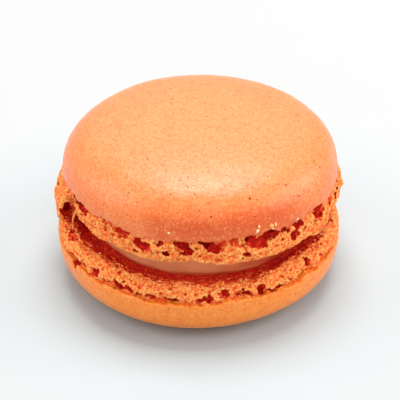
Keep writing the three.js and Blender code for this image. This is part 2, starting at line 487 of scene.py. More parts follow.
# The foot's lower edge, above or below its leaning mean.
up_lip = through([(-174, 0.0), (-165, 0.0), (-160, 0.9), (-154.5, 1.0), (-152.6, -0.6), (-148.7, -1.45), (-143.5, -0.95), (-134.6, -1.30),
                  (-129, -1.05), (-120.5, -1.22), (-112.9, -0.88), (-102.2, -0.43), (-85.4, -0.15), (-72.4, -0.30),
                  (-59.1, -0.30), (-51.6, -0.08), (-43.1, -0.22), (-37.0, -0.62), (-32.3, -0.10), (-28.0, 0.45), (-22.0, 1.05), (0, 0.3), (40, -0.1),
                  (90, 0.0), (140, 0.1)])
low_edge = through([(-172, -0.50), (-164.8, -0.85), (-156.4, -0.20), (-149.7, -0.05), (-144.2, -0.18), (-135.5, -0.32),
                    (-131.5, -0.28), (-127.3, 0.25), (-119.2, 0.09), (-112.8, -0.18), (-104, -0.07), (-96.7, 0.02),
                    (-83.6, -0.01), (-78.6, 0.45), (-68.4, 0.21), (-58, 0.04), (-48.8, -0.10), (-44.2, -0.09),
                    (-40.1, 0.29), (-35.4, -0.34), (-31.5, -0.21), (-25.2, -0.78), (-21.4, -0.38), (-12.8, -0.55),
                    (15, 0.10), (60, -0.15), (110, 0.15), (150, -0.15)])
low_edge_fine = wobble(12, [(18, 40, 0.08), (41, 110, 0.07), (111, 200, 0.05)])
up_lip_fine = wobble(13, [(24, 60, 0.10)])
up_rim_fine = wobble(14, [(20, 70, 0.05)])
low_rim_fine = wobble(15, [(20, 70, 0.05)])


def lobe_at(angle):
    """1 in the hanging lobe, with a steep front edge and a gentle back one, else 0."""
    on = np.mod(LOBE_FRONT + 0.02 - np.asarray(angle), TAU)
    full = LOBE_FRONT - LOBE_BACK
    return np.where(on < 1.0, ramp(0.0, 0.085, on) * (1 - ramp(full - 0.06, full + 0.20, on)), 0.0)


def crown_at(r):
    """How far the crown stands up from the superellipse at radius r."""
    return CROWN * np.clip(1 - (np.asarray(r) / CROWN_R)**2, 0, 1)**2


def lean_of(lean, r, angle):
    return r * (lean[0] * np.cos(angle) + lean[1] * np.sin(angle))


# ---- upper shell's outline as a field: under 0 inside ----------------------------------
def up_crust_z(t):
    return UP_Z + lean_of(UP_LEAN, UP_R, t) + up_edge(t) + up_edge_fine(t)


def up_lip_z(t):
    return UP_LIP + lean_of(UP_LIP_LEAN, 21.9, t) + up_lip(t) + up_lip_drop(t) + 0.6 * up_lip_fine(t) - LOBE_DOWN * lobe_at(t)


def upper_parts(t, r, z):
    """Fields of the upper foot and the upper crust at angle t, radius r and height z."""
    edge, lip = up_crust_z(t), up_lip_z(t)
    share = (z - lip) / (edge - 0.25 - lip)
    s = np.clip(share, 0, 1.2)
    foot_r = UP_FOOT + 0.9 * up_foot_out(t) - 1.5 * (s - 0.33)**2 + LOBE_OUT * lobe_at(t) * (1 - np.clip(s, 0, 1))
    under = FILL_TOP + (lip - 0.15 - FILL_TOP) * ramp(18.4, 21.2, r) - 0.25 * ramp(18.4, 19.8, r) * (1 - ramp(19.8, 21.6, r))
    foot = smax(r - foot_r, under - z, 1.0)
    zeta = z - lean_of(UP_LEAN, r, t) - UP_Z
    rise = UP_RISE
    dome_r = (UP_R + up_crust_out(t) + up_rim_fine(t) * (1 - ramp(0.0, 1.0, zeta))) * np.power(
        np.clip(1 - np.power(np.clip(zeta / rise, 0, 1), UP_UP), 1e-4, 1), 1 / UP_AROUND)
    crust = smax(r - dome_r, (edge - 0.12 * ramp(UP_R - 3, UP_R, r)) - z, 0.22)
    return foot, crust, share


def lower_parts(t, r, z):
    edge = LOW_Z + lean_of(LOW_LEAN, LOW_R, t) + low_edge(t) + low_edge_fine(t)
    crest = LOW_Z + lean_of(LOW_LEAN, LOW_CREST_R, t) + LOW_CREST + low_crest(t)
    inner = ramp(FILL_RADIUS + 0.35, LOW_CREST_R, r)
    outer = np.clip((r - LOW_CREST_R) / 2.1, 0, 1.5)
    top = FILL_BOTTOM + (crest - FILL_BOTTOM) * inner - 1.35 * outer**2
    foot_r = LOW_FOOT + low_foot_out(t) - 0.5 * (1 - ramp(0.15, 1.1, z - edge))
    foot = smax(z - top, r - foot_r, 0.9)
    down = LOW_Z + lean_of(LOW_LEAN, r, t) * ramp(SPOT, 16, r) - z
    dome_r = (LOW_R + low_crust_out(t) + low_rim_fine(t) * (1 - ramp(0.0, 1.0, down))) * np.power(
        np.clip(1 - np.power(np.clip(down / LOW_Z, 0, 1), LOW_UP), 1e-4, 1), 1 / LOW_AROUND)
    crust = smax(r - dome_r, z - (edge + 0.05), 0.22)
    return foot, crust, z - edge


# Hollows under the crust's edge: (degrees, height, width, tallness, depth) in mm
UP_HOLLOWS = [
    (-118.6, 17.25, 2.0, 1.3, 1.1), (-116.2, 17.0, 1.6, 1.5, 1.3), (-112.6, 16.35, 2.3, 1.9, 1.5), (-106.7, 17.3, 1.3, 1.2, 1.1),
    (-103.9, 16.2, 0.8, 0.9, 0.8), (-97.6, 17.3, 2.0, 1.4, 1.3), (-94.3, 16.75, 1.8, 1.3, 1.3), (-90.0, 17.95, 2.2, 0.7, 0.9),
    (-86.4, 17.7, 2.2, 1.5, 1.4), (-83.6, 17.1, 1.2, 1.0, 1.0), (-78.4, 17.9, 1.6, 0.8, 0.5), (-76.0, 17.3, 1.3, 0.9, 0.5),
    (-69.8, 17.75, 2.4, 1.3, 1.2), (-66.8, 16.95, 2.4, 2.1, 1.4), (-63.4, 17.4, 2.8, 2.1, 1.5), (-59.8, 17.65, 2.4, 1.8, 1.4),
    (-71.5, 15.55, 1.2, 0.6, 0.6), (-54.3, 17.6, 0.8, 0.8, 0.9), (-55.4, 16.1, 0.6, 0.9, 0.8), (-49.9, 16.2, 1.3, 1.2, 1.0),
    (-46.8, 17.45, 1.7, 1.1, 1.0), (-43.1, 16.1, 0.8, 0.9, 0.8), (-35.0, 17.25, 1.9, 2.3, 1.3), (-31.8, 18.0, 0.7, 0.7, 0.7),
    (-25.0, 16.9, 1.0, 0.9, 0.9), (-17.1, 16.4, 1.3, 1.1, 1.0),
    (-124.4, 17.5, 2.4, 1.2, 0.6), (-131.8, 17.9, 1.8, 0.8, 0.5), (-128.0, 16.35, 0.7, 0.7, 0.7), (-131.7, 16.3, 0.4, 0.4, 0.4),
    (-136.9, 17.1, 1.0, 0.9, 0.9), (-151.6, 17.6, 1.8, 1.1, 1.0), (-148.2, 17.5, 2.0, 1.4, 1.1), (-145.0, 17.25, 1.5, 1.2, 1.0),
    (-157.0, 16.6, 1.9, 1.4, 1.4),
]
UP_WHOLE = [-164.0, -172.0, -180.0, 172.0]                    # no others in the lobe
# The lobe is a thin wall round deep hollows: (degrees, radius, height, half length, half depth, half tallness) in mm
LOBE_HOLLOWS = [(-163.6, 21.35, 11.9, 2.0, 1.25, 2.3), (-161.0, 21.2, 10.9, 1.6, 1.3, 1.3), (-169.5, 21.3, 11.9, 1.5, 0.9, 1.4)]
LOW_HOLLOWS = [
    (-149.4, 7.75, 1.6, 1.7, 1.1), (-136.4, 8.85, 1.9, 1.0, 1.2), (-143.5, 8.5, 0.8, 0.6, 0.7), (-130.3, 8.5, 0.9, 0.6, 0.7),
    (-124.8, 8.5, 2.1, 1.1, 1.4), (-118.3, 8.4, 1.3, 1.0, 1.2), (-114.5, 8.2, 1.0, 0.7, 0.9), (-110.5, 8.25, 1.8, 0.9, 1.0),
    (-103.5, 8.2, 1.0, 0.6, 0.8), (-97.2, 8.25, 2.4, 0.6, 1.0), (-89.6, 8.6, 2.8, 0.95, 1.4), (-85.6, 8.35, 1.4, 0.9, 1.1),
    (-78.7, 9.0, 1.7, 1.2, 1.3), (-74.6, 8.75, 1.6, 0.9, 1.2), (-70.4, 8.9, 1.9, 1.1, 1.3), (-64.0, 8.95, 1.4, 1.1, 1.2),
    (-64.6, 8.1, 1.3, 0.6, 0.9), (-55.5, 8.2, 2.3, 0.8, 1.2), (-50.0, 8.6, 0.8, 0.6, 0.7), (-38.9, 9.45, 1.2, 2.5, 1.3),
    (-30.0, 8.5, 1.3, 0.9, 0.9),
]
# A crevice along the top of the lower foot: (degrees, radius, height, length, depth, tallness) in mm
LOW_CREVICE = (-158.5, 21.3, 10.3, 2.4, 0.6, 0.35)


def hollows(ring, f, seed, listed, whole, edge_at, side, surface_r, low_share, grain, soft=0.16):
    """Carves the listed hollows, and others like them where the list has none."""
    rng = np.random.default_rng(seed)
    for deg, z, wide, tall, deep in listed:
        t = math.radians(deg)
        r = float(surface_r(t, z))
        ring.carve(f, t, r - 0.15 * deep, z, wide / 2, deep, tall / 2, soft, grain)
        for k in range(int(1 + wide * 0.9)):
            size = rng.uniform(0.16, 0.32)
            ring.carve(f, t + rng.uniform(-0.62, 0.62) * wide / r, r - rng.uniform(-0.1, 0.4) * deep,
                       z + rng.uniform(-0.55, 0.55) * tall, size, size * 1.2, size, 0.10)
    taken = [math.radians(d) for d, *_ in listed] + [math.radians(d + k) for d in whole for k in (-6, -3, 0, 3, 6)]
    t = -math.pi
    while t < math.pi:
        wide = float(np.clip(rng.lognormal(0.45, 0.5), 0.7, 4.0))
        if -160 < math.degrees(t) < -18:           # the list has the large ones here
            wide = min(wide, 0.9)
        mid = t + wide / 44
        near = min(abs(math.remainder(mid - x, TAU)) for x in taken)
        if near > (wide / 2 + 1.4) / 22:
            tall = float(np.clip(wide * rng.uniform(0.35, 0.8), 0.5, 1.9)) * side[1]
            deep = float(rng.uniform(0.7, 1.4))
            z = float(edge_at(mid)) + side[0] * (0.25 + tall / 2 + rng.uniform(0, low_share))
            r = float(surface_r(mid, z))
            if wide <= 0.9:
                deep *= 0.6
            ring.carve(f, mid, r - 0.15 * deep, z, wide / 2, deep, tall / 2, soft, grain)
            for k in range(int(1 + wide * 0.9)):
                size = rng.uniform(0.16, 0.32)
                ring.carve(f, mid + rng.uniform(-0.62, 0.62) * wide / r, r - rng.uniform(-0.1, 0.4) * deep,
                           z + rng.uniform(-0.55, 0.55) * tall, size, size * 1.2, size, 0.10)
        t += (wide + rng.uniform(0.3, 1.4)) / 22


def pores(ring, f, seed, count, sizes, z_range, r_range, inward, accept=None):
    """Carves small round pores whose middles lie near the surface."""
    rng = np.random.default_rng(seed)
    made = 0
    steps, nr, nz = ring.shape
    t = rng.uniform(0, TAU, count * 30)
    r = rng.uniform(*r_range, count * 30)
    z = rng.uniform(*z_range, count * 30)
    grid = np.stack([t / (TAU / steps), (r - ring.r[0]) / ring.step, (z - ring.z[0]) / ring.step], 1)
    here = sample(ring, f, grid)
    size = sizes[0] * (sizes[1] / sizes[0])**(rng.uniform(0, 1, len(t))**1.7)
    good = (here < inward[1] * size) & (here > -inward[0] * size)
    if accept is not None:
        good &= accept(t, r, z)
    for n in np.flatnonzero(good)[:count]:
        s = size[n]
        ring.carve(f, t[n], r[n], z[n], s * rng.uniform(0.8, 1.4), s * rng.uniform(0.9, 1.3), s * rng.uniform(0.7, 1.1), 0.06)
        made += 1
    return made


NT = 880
STEP = 0.158
MOST = 186000                          # triangles in one shell

# =====================================================================================
# How much open space is over each point: a coarse block of the whole macaron,
# looked through in many directions; the foot and the filling are painted with shade by it
# =====================================================================================
class Sky:
    PITCH = 0.5

    def __init__(self, solid_at):
        n = self.PITCH
        self.low = np.array([-29.0, -29.0, -2.0])
        self.count = np.ceil(np.array([58.0, 58.0, 31.0]) / n).astype(int)
        g = [self.low[k] + (np.arange(self.count[k]) + 0.5) * n for k in range(3)]
        x, y, z = np.meshgrid(*g, indexing="ij")
        self.clear = (~solid_at(x, y, z)).astype(np.float32)
        self.clear[:, :, g[2] < 0] = 1.0
        dirs = []
        golden = math.pi * (3 - math.sqrt(5))
        for k in range(46):
            u = 1 - 2 * (k + 0.5) / 46
            dirs.append((math.sqrt(1 - u * u) * math.cos(k * golden), math.sqrt(1 - u * u) * math.sin(k * golden), u))
        self.dirs = np.array(dirs)
        self.seen = []
        for d in self.dirs:
            v = self.clear.copy()
            for k in range(2, 22):
                o = np.round(d * k * 0.95).astype(int)
                v *= self.moved(o)
            self.seen.append(v)

    def moved(self, o):
        """clear, looked at o cells further on; beyond the block all is clear."""
        out = np.ones_like(self.clear)
        dst, src = [], []
        for k in range(3):
            n = self.clear.shape[k]
            if o[k] >= 0:
                dst.append(slice(0, n - o[k])); src.append(slice(o[k], n))
            else:
                dst.append(slice(-o[k], n)); src.append(slice(0, n + o[k]))
        out[tuple(dst)] = self.clear[tuple(src)]
        return out

    def over(self, xyz, normals):
        p = xyz + normals * (1.6 * self.PITCH)
        g = (p - self.low) / self.PITCH - 0.5
        i = np.floor(g).astype(int)
        i = np.clip(i, 0, self.count - 2)
        t = np.clip(g - i, 0, 1)
        total = np.zeros(len(xyz))
        weight = np.zeros(len(xyz))
        for d, v in zip(self.dirs, self.seen):
            w = np.maximum(normals @ d, 0)
            s = np.zeros(len(xyz))
            for a, b, c in CORNERS:
                s += (t[:, 0] if a else 1 - t[:, 0]) * (t[:, 1] if b else 1 - t[:, 1]) * (t[:, 2] if c else 1 - t[:, 2]) * v[i[:, 0] + a, i[:, 1] + b, i[:, 2] + c]
            total += w * s
            weight += w
        return total / np.maximum(weight, 1e-6)


def whole(x, y, z):
    """Where the macaron is solid, from its smooth outlines."""
    r = np.hypot(x - UP_AT[0], y - UP_AT[1])
    t = np.arctan2(y - UP_AT[1], x - UP_AT[0])
    foot, crust, _ = upper_parts(t, r, z - crown_at(r))
    rise = UP_RISE
    up = (np.minimum(foot, crust) < 0) & (z > 12) & (z < HEIGHT + 1)
    zeta = z - crown_at(r) - lean_of(UP_LEAN, r, t) - UP_Z
    up &= ~((zeta > 0) & ((r / UP_R)**UP_AROUND + np.clip(zeta / rise, 0, 9)**UP_UP > 1))
    r = np.hypot(x - LOW_AT[0], y - LOW_AT[1])
    t = np.arctan2(y - LOW_AT[1], x - LOW_AT[0])
    foot, crust, _ = lower_parts(t, r, z)
    down = LOW_Z - z
    low = (np.minimum(foot, crust) < 0) & (z < 12.5) & (z > 0)
    low &= ~((down > 0) & ((r / LOW_R)**LOW_AROUND + np.clip(down / LOW_Z, 0, 9)**LOW_UP > 1))
    fill = (np.hypot(x - SHIFT[0], y - SHIFT[1]) < FILL_RADIUS) & (z > 9) & (z < 15)
    return up | low | fill


sky = Sky(whole)
say("open space")


def to_xyz(ring, points, at):
    t = points[:, 0] * (TAU / ring.steps)
    r = ring.r[0] + points[:, 1] * ring.step
    z = ring.z[0] + points[:, 2] * ring.step
    return np.stack([r * np.cos(t) + at[0], r * np.sin(t) + at[1], z], 1), t, r


def in_order(loop, angle):
    """The loop, turned round if need be, so that its angle rises."""
    a = np.unwrap(angle[loop])
    return loop if a[-1] > a[0] else loop[::-1]


def ring_solid(ring, f, at, dome_high):
    """The mesh of the ring-shaped part of a shell, and its two open loops: the dome's and the inner face's."""
    points, quads = surface(ring, f)
    keep = largest(len(points), quads)
    quads = quads[keep[quads[:, 0]]]
    xyz, t, r = to_xyz(ring, points, at)
    loops = [l for l in open_loops(quads) if len(l) > ring.steps // 2]
    zs = [xyz[l, 2].mean() for l in loops]
    rs = [r[l].mean() for l in loops]
    say("open loops", [(len(l), round(float(a), 2), round(float(b), 2)) for l, a, b in zip(loops, rs, zs)])
    inner = loops[int(np.argmin(rs))]
    dome = loops[int(np.argmax(zs) if dome_high else np.argmin(zs))]
    return xyz, t, r, quads, in_order(dome, t), in_order(inner, t)


def marks_from(ring, f, env, at, crust_at):
    """A function from points and normals to what the material is painted by: how walled in a point is, closely
    (fine) and widely (broad), how deep it lies under the outline, whether it is crust, and how open its sky is. The
    painted shade and highlights of the foot follow fine, deep and open."""
    solid = (f < 0).astype(np.float32)
    fine, broad = ring.blur(solid, 0.40), ring.blur(solid, 1.1)

    def look(xyz, normals):
        x, y = xyz[:, 0] - at[0], xyz[:, 1] - at[1]
        r, t = np.hypot(x, y), np.mod(np.arctan2(y, x), TAU)
        g = np.stack([t / (TAU / ring.steps), (r - ring.r[0]) / ring.step, (xyz[:, 2] - ring.z[0]) / ring.step], 1)
        there = (g[:, 1] > 3) & (g[:, 1] < ring.shape[1] - 2) & (g[:, 2] > 3) & (g[:, 2] < ring.shape[2] - 4)
        return {
            "fine": np.where(there, sample(ring, fine, g), 0.5),
            "broad": np.where(there, sample(ring, broad, g), 0.45),
            "deep": np.where(there, np.maximum(0, -sample(ring, env, g)), 0.0),
            "crust": crust_at(t, r, xyz[:, 2]),
            "open": sky.over(xyz, normals),
        }
    return look


def profile_table(radius, rise, around, up):
    """Radius and height share of a dome's section by length along it, from its edge to the axis."""
    a = np.linspace(0, math.pi / 2, 4001)
    r = radius * np.cos(a).clip(0)**(2 / around)
    z = rise * np.sin(a)**(2 / up)
    s = np.concatenate([[0], np.cumsum(np.hypot(np.diff(r), np.diff(z)))])
    return s, r, z


def relief(xyz, normal, crust_share, foot_share, seed, rim):
    """Moves points along their normals: low swells and a fine grain on crust, small lumps on the foot. rim is 1 on
    crust close to its edge, where it is rougher."""
    move = crust_share * (0.024 * lattice(xyz, 7.0, seed) + 0.010 * lattice(xyz, 2.1, seed + 1) + 0.005 * lattice(xyz, 0.8, seed + 2))
    move = move + crust_share * rim * (0.016 * lattice(xyz, 0.9, seed + 5) + 0.012 * lattice(xyz, 0.5, seed + 6))
    move = move + foot_share * (0.030 * lattice(xyz, 0.55, seed + 3) + 0.018 * lattice(xyz, 0.33, seed + 4))
    return xyz + normal * move[:, None]


def upon_dome(deg, z):
    """The point of the upper dome at this angle and height."""
    t = math.radians(deg)
    r = UP_R
    for _ in range(6):
        zeta = z - lean_of(UP_LEAN, r, t) - UP_Z
        r = UP_R * (1 - min(max(zeta / UP_RISE, 0), 1)**UP_UP)**(1 / UP_AROUND)
    return np.array([r * math.cos(t) + UP_AT[0], r * math.sin(t) + UP_AT[1], z])


def blisters(xyz, normal):
    """Small raised bubbles in the upper crust near its edge; the first is a ring round a sunken middle."""
    rng = np.random.default_rng(97)
    spots = [(-95.0, 20.8, 0.42, 0.08, True)]
    for _ in range(170):
        t = float(rng.uniform(-180, 180))
        spots.append((t, float(rng.triangular(18.2, 19.2, 21.9)), float(rng.uniform(0.12, 0.30)), float(rng.uniform(0.010, 0.036)), False))
    near = (xyz[:, 2] > 18) & (xyz[:, 2] < 22.5)
    move = np.zeros(len(xyz))
    for deg, z, size, high, hollow in spots:
        d = np.linalg.norm(xyz[near] - upon_dome(deg, z), axis=1)
        move[near] += high * (np.exp(-((d - size) / (0.38 * size))**2) if hollow else np.exp(-(d / size)**2))
    return xyz + normal * move[:, None]


def finish_shell(name, build, seed, marks_at):
    xyz, quads, tris, marks = build.arrays()
    n = normals_of(xyz, quads, tris)
    high = name.startswith("upper")
    rim = 1 - ramp(1.5, 4.5, xyz[:, 2] - UP_Z) if high else np.full(len(xyz), 0.4)
    xyz = relief(xyz, n, marks["crust"] * marks["free"], (1 - marks["crust"]) * marks["free"], seed, rim)
    if high:
        xyz = blisters(xyz, n * marks["crust"][:, None])
    xyz[:, 2] = np.maximum(xyz[:, 2], 0.0)
    return mesh_object(name, xyz, quads, tris, marks_at, MOST)


# =====================================================================================
# Upper shell
# =====================================================================================
def make_upper():
    ring = Ring(NT, 16.5, 24.4, 9.9, 19.7, STEP)
    foot, crust, share = upper_parts(ring.T, ring.R, ring.Z)
    foot, crust, share = (np.broadcast_to(v, ring.shape).astype(np.float32) for v in (foot, crust, share))
    env = smin(foot, crust, 0.12).astype(np.float32)
    sponge = (1 - ramp(0.86, 1.04, share)) * ramp(17.5, 18.6, ring.R)
    sponge = sponge * (0.45 + 0.55 * ramp(0.02, 0.30, share))
    ruffle = 0.10 * ring.cloud(21, 1.6, 1.6, 1.3) + 0.06 * ring.cloud(22, 0.75, 0.8, 0.7) + 0.05 * ring.cloud(23, 0.38, 0.40, 0.36)
    f = smin(foot + sponge * ruffle, crust, 0.12).astype(np.float32)
    grain = (0.20 * ring.cloud(24, 0.8, 0.8, 0.7) + 0.09 * ring.cloud(25, 0.38, 0.4, 0.36)).astype(np.float32)
    say("upper outline", ring.shape)

    def surface_r(t, z):
        lip, edge = float(up_lip_z(t)), float(up_crust_z(t))
        s = np.clip((z - lip) / (edge - 0.25 - lip), 0, 1.2)
        return UP_FOOT + 0.9 * up_foot_out(t) - 1.5 * (s - 0.33)**2 + LOBE_OUT * float(lobe_at(t)) * (1 - min(max(s, 0), 1))

    hollows(ring, f, 31, UP_HOLLOWS, UP_WHOLE, up_crust_z, (-1, 1.0), surface_r, 0.5, grain)
    for deg, r0, z0, arc, deep, tall in LOBE_HOLLOWS:
        ring.carve(f, math.radians(deg), r0, z0, arc, deep, tall, 0.16, grain)

    def under_edge(t, r, z):
        return (z < up_crust_z(t) - 0.22) & (r > 18.2)
    n1 = pores(ring, f, 32, 300, (0.18, 0.42), (9.5, 18.8), (19.5, 24.2), (0.7, 0.2), lambda t, r, z: under_edge(t, r, z) & (z > up_lip_z(t) + 0.8))
    n2 = pores(ring, f, 33, 1500, (0.10, 0.22), (9.5, 18.8), (18.2, 24.2), (0.6, 0.5), under_edge)
    say("upper pores", n1, n2)
    xyz, t, rr, quads, dome, inner = ring_solid(ring, f, UP_AT, True)

    def crust_at(t, r, z):
        return np.maximum(ramp(-0.45, 0.15, z - up_crust_z(t)) * ramp(20.0, 20.9, r), ramp(19.0, 19.4, z))
    b = Build(xyz, quads, crust=crust_at(t, rr, xyz[:, 2]), free=ramp(17.4, 18.4, rr))
    # dome above the ring
    s_tab, r_tab, z_tab = profile_table(UP_R, UP_RISE, UP_AROUND, UP_UP)
    edge_r = np.hypot(xyz[dome, 0] - UP_AT[0], xyz[dome, 1] - UP_AT[1])
    angle = t[dome]
    zeta = xyz[dome, 2] - lean_of(UP_LEAN, edge_r, angle) - UP_Z
    s_here = np.interp(zeta, z_tab, s_tab)
    last, last_angle = dome, angle
    total = s_tab[-1]
    mean_s = float(s_here.mean())
    n_rings = 56
    counts = []
    for k in range(1, n_rings):
        left = 1 - k / n_rings
        counts.append(440 if left > 0.5 else 220 if left > 0.2 else 110 if left > 0.08 else 55)
    order = np.argsort(np.mod(angle, TAU))
    ang_sorted = np.mod(angle, TAU)[order]
    s_sorted = s_here[order]
    for k in range(1, n_rings):
        c = counts[k - 1]
        a = np.arange(c) * (TAU / c)
        s0 = np.interp(a, ang_sorted, s_sorted, period=TAU)
        share_k = (k / n_rings)
        s = s0 + (total - s0) * share_k
        swell = 1 + up_crust_out(a) / UP_R
        r = np.interp(s, s_tab, r_tab) * swell
        z = np.interp(s, s_tab, z_tab) + UP_Z + lean_of(UP_LEAN, r, a) + crown_at(r)
        new = b.add(np.stack([r * np.cos(a) + UP_AT[0], r * np.sin(a) + UP_AT[1], z], 1),
                    crust=1.0, free=1.0)
        if len(last) == len(new):
            b.band(last, new, False)
        else:
            b.zip(last, last_angle, new, a, False)
        last, last_angle = new, a
    tip = b.add(np.array([[UP_AT[0], UP_AT[1], HEIGHT]]), crust=1.0, free=1.0)
    b.fan(last, tip[0], False)
    # flat inner face
    last, last_angle = inner, t[inner]
    for r, c in ((15.2, 300), (12.0, 150), (7.0, 75)):
        a = np.arange(c) * (TAU / c)
        new = b.add(np.stack([r * np.cos(a) + UP_AT[0], r * np.sin(a) + UP_AT[1], np.full(c, FILL_TOP)], 1),
                    crust=0.0, free=0.0)
        b.zip(last, last_angle, new, a, True)
        last, last_angle = new, a
    tip = b.add(np.array([[UP_AT[0], UP_AT[1], FILL_TOP]]), crust=0.0, free=0.0)
    b.fan(last, tip[0], True)
    return finish_shell("upper_shell_baked", b, 41, marks_from(ring, f, env, UP_AT, crust_at))


# =====================================================================================
# Lower shell
# =====================================================================================
def make_lower():
    ring = Ring(NT, 16.5, 23.6, 5.3, 11.9, STEP)
    foot, crust, above = lower_parts(ring.T, ring.R, ring.Z)
    foot, crust, above = (np.broadcast_to(v, ring.shape).astype(np.float32) for v in (foot, crust, above))
    env = smin(foot, crust, 0.12).astype(np.float32)
    sponge = ramp(0.0, 0.3, above) * ramp(17.3, 18.2, ring.R)
    ruffle = 0.10 * ring.cloud(51, 1.4, 1.4, 1.4) + 0.07 * ring.cloud(52, 0.75, 0.75, 0.75) + 0.065 * ring.cloud(53, 0.38, 0.38, 0.36)
    f = smin(foot + sponge * ruffle, crust, 0.12).astype(np.float32)
    grain = (0.16 * ring.cloud(54, 0.8, 0.8, 0.7) + 0.08 * ring.cloud(55, 0.38, 0.4, 0.36)).astype(np.float32)
    say("lower outline", ring.shape)

    def edge_at(t):
        return LOW_Z + lean_of(LOW_LEAN, LOW_R, t) + low_edge(t) + low_edge_fine(t)

    def surface_r(t, z):
        return LOW_FOOT + low_foot_out(t) - 0.5 * (1 - ramp(0.15, 1.1, z - edge_at(t)))

    hollows(ring, f, 61, LOW_HOLLOWS, [], edge_at, (1, 0.55), surface_r, 0.3, grain)

    deg, r0, z0, long, deep, tall = LOW_CREVICE
    ring.carve(f, math.radians(deg), r0, z0, long / 2, deep, tall, 0.10, grain)

    def over_edge(t, r, z):
        return (z > edge_at(t) + 0.2) & (r > 17.9)
    n1 = pores(ring, f, 62, 300, (0.17, 0.34), (8.0, 11.8), (18.0, 23.0), (0.5, 0.4), over_edge)
    n2 = pores(ring, f, 63, 4200, (0.10, 0.24), (8.0, 11.8), (17.9, 23.0), (0.5, 0.6), over_edge)
    say("lower pores", n1, n2)
    xyz, t, rr, quads, dome, inner = ring_solid(ring, f, LOW_AT, False)

    def crust_at(t, r, z):
        return 1 - ramp(-0.02, 0.22, z - edge_at(t))
    b = Build(xyz, quads, crust=crust_at(t, rr, xyz[:, 2]), free=ramp(17.3, 18.2, rr))
    s_tab, r_tab, z_tab = profile_table(LOW_R, LOW_Z, LOW_AROUND, LOW_UP)
    angle = t[dome]
    edge_r = rr[dome]
    down = LOW_Z + lean_of(LOW_LEAN, edge_r, angle) - xyz[dome, 2]
    s_here = np.interp(down, z_tab, s_tab)
    s_spot = float(np.interp(-SPOT, -r_tab, s_tab))
    order = np.argsort(np.mod(angle, TAU))
    ang_sorted, s_sorted = np.mod(angle, TAU)[order], s_here[order]
    last, last_angle = dome, angle
    n_rings = 34
    for k in range(1, n_rings + 1):
        c = 440 if k < 20 else 220
        a = np.arange(c) * (TAU / c)
        s0 = np.interp(a, ang_sorted, s_sorted, period=TAU)
        s = s0 + (s_spot - s0) * (k / n_rings)
        r = np.interp(s, s_tab, r_tab) * (1 + low_crust_out(a) / LOW_R * ramp(SPOT, 18, np.interp(s, s_tab, r_tab)))
        z = LOW_Z - np.interp(s, s_tab, z_tab)
        z = (z + lean_of(LOW_LEAN, r, a) * ramp(SPOT, 16, r)) * (0 if k == n_rings else 1)
        new = b.add(np.stack([r * np.cos(a) + LOW_AT[0], r * np.sin(a) + LOW_AT[1], np.maximum(z, 0)], 1),
                    crust=1.0, free=float(1 - k / n_rings))
        if len(last) == len(new):
            b.band(last, new, True)
        else:
            b.zip(last, last_angle, new, a, True)
        last, last_angle = new, a
    for r, c in ((6.0, 112), (3.0, 56)):
        a = np.arange(c) * (TAU / c)
        new = b.add(np.stack([r * np.cos(a) + LOW_AT[0], r * np.sin(a) + LOW_AT[1], np.zeros(c)], 1),
                    crust=1.0, free=0.0)
        b.zip(last, last_angle, new, a, True)
        last, last_angle = new, a
    tip = b.add(np.array([[LOW_AT[0], LOW_AT[1], 0.0]]), crust=1.0, free=0.0)
    b.fan(last, tip[0], True)
    # flat inner face, under the filling
    last, last_angle = inner, t[inner]
    for r, c in ((15.2, 300), (12.0, 150), (7.0, 75)):
        a = np.arange(c) * (TAU / c)
        new = b.add(np.stack([r * np.cos(a) + LOW_AT[0], r * np.sin(a) + LOW_AT[1], np.full(c, FILL_BOTTOM)], 1),
                    crust=0.0, free=0.0)
        b.zip(last, last_angle, new, a, False)
        last, last_angle = new, a
    tip = b.add(np.array([[LOW_AT[0], LOW_AT[1], FILL_BOTTOM]]), crust=0.0, free=0.0)
    b.fan(last, tip[0], False)
    return finish_shell("lower_shell_baked", b, 71, marks_from(ring, f, env, LOW_AT, crust_at))


# =====================================================================================
# Filling
# =====================================================================================
def make_filling():
    n, rows = 420, 34
    a = np.arange(n) * (TAU / n)
    u = np.linspace(0, 1, rows)
    z0, z1 = FILL_BOTTOM - 0.12, FILL_TOP + 0.12
    z = z0 + (z1 - z0) * u
    bulge = 0.16 * np.sin(np.pi * u)**0.8 - 0.22 * (np.abs(2 * u - 1)**8)
    T, U = np.meshgrid(a, np.arange(rows), indexing="ij")
    r = FILL_RADIUS + fill_out(T) + bulge[U]
    xyz = np.stack([r * np.cos(T) - 0.1 + SHIFT[0], r * np.sin(T) + 0.1 + SHIFT[1], z[U]], -1).reshape(-1, 3)
    grow = 0.07 * lattice(xyz * (1, 1, 0.7), 3.2, 81) + 0.03 * lattice(xyz * (0.5, 0.5, 1.6), 1.2, 82)
    out = np.stack([np.cos(T), np.sin(T), np.zeros_like(T)], -1).reshape(-1, 3)
    xyz = xyz + out * grow[:, None]
    idx = np.arange(n * rows).reshape(n, rows)
    b = Build(xyz, np.zeros((0, 4), int))
    for k in range(rows - 1):
        b.band(idx[:, k], idx[:, k + 1], False)
    for k, flip in ((rows - 1, False), (0, True)):
        last, ang = idx[:, k], a
        zz = float(z[k])
        for r2, c in ((12.0, 105),):
            a2 = np.arange(c) * (TAU / c)
            new = b.add(np.stack([r2 * np.cos(a2) + SHIFT[0], r2 * np.sin(a2) + SHIFT[1], np.full(c, zz)], 1))
            b.zip(last, ang, new, a2, flip)
            last, ang = new, a2
        tip = b.add(np.array([[SHIFT[0], SHIFT[1], zz]]))
        b.fan(last, tip[0], flip)
    xyz, quads, tris, _ = b.arrays()
    # open marks where the filling's painted shade goes
    return mesh_object("filling_cream", xyz, quads, tris, lambda p, n: {"open": sky.over(p, n)})


def around(deg, r, z, at):
    t = math.radians(deg)
    return np.array([r * math.cos(t) + at[0], r * math.sin(t) + at[1], z])


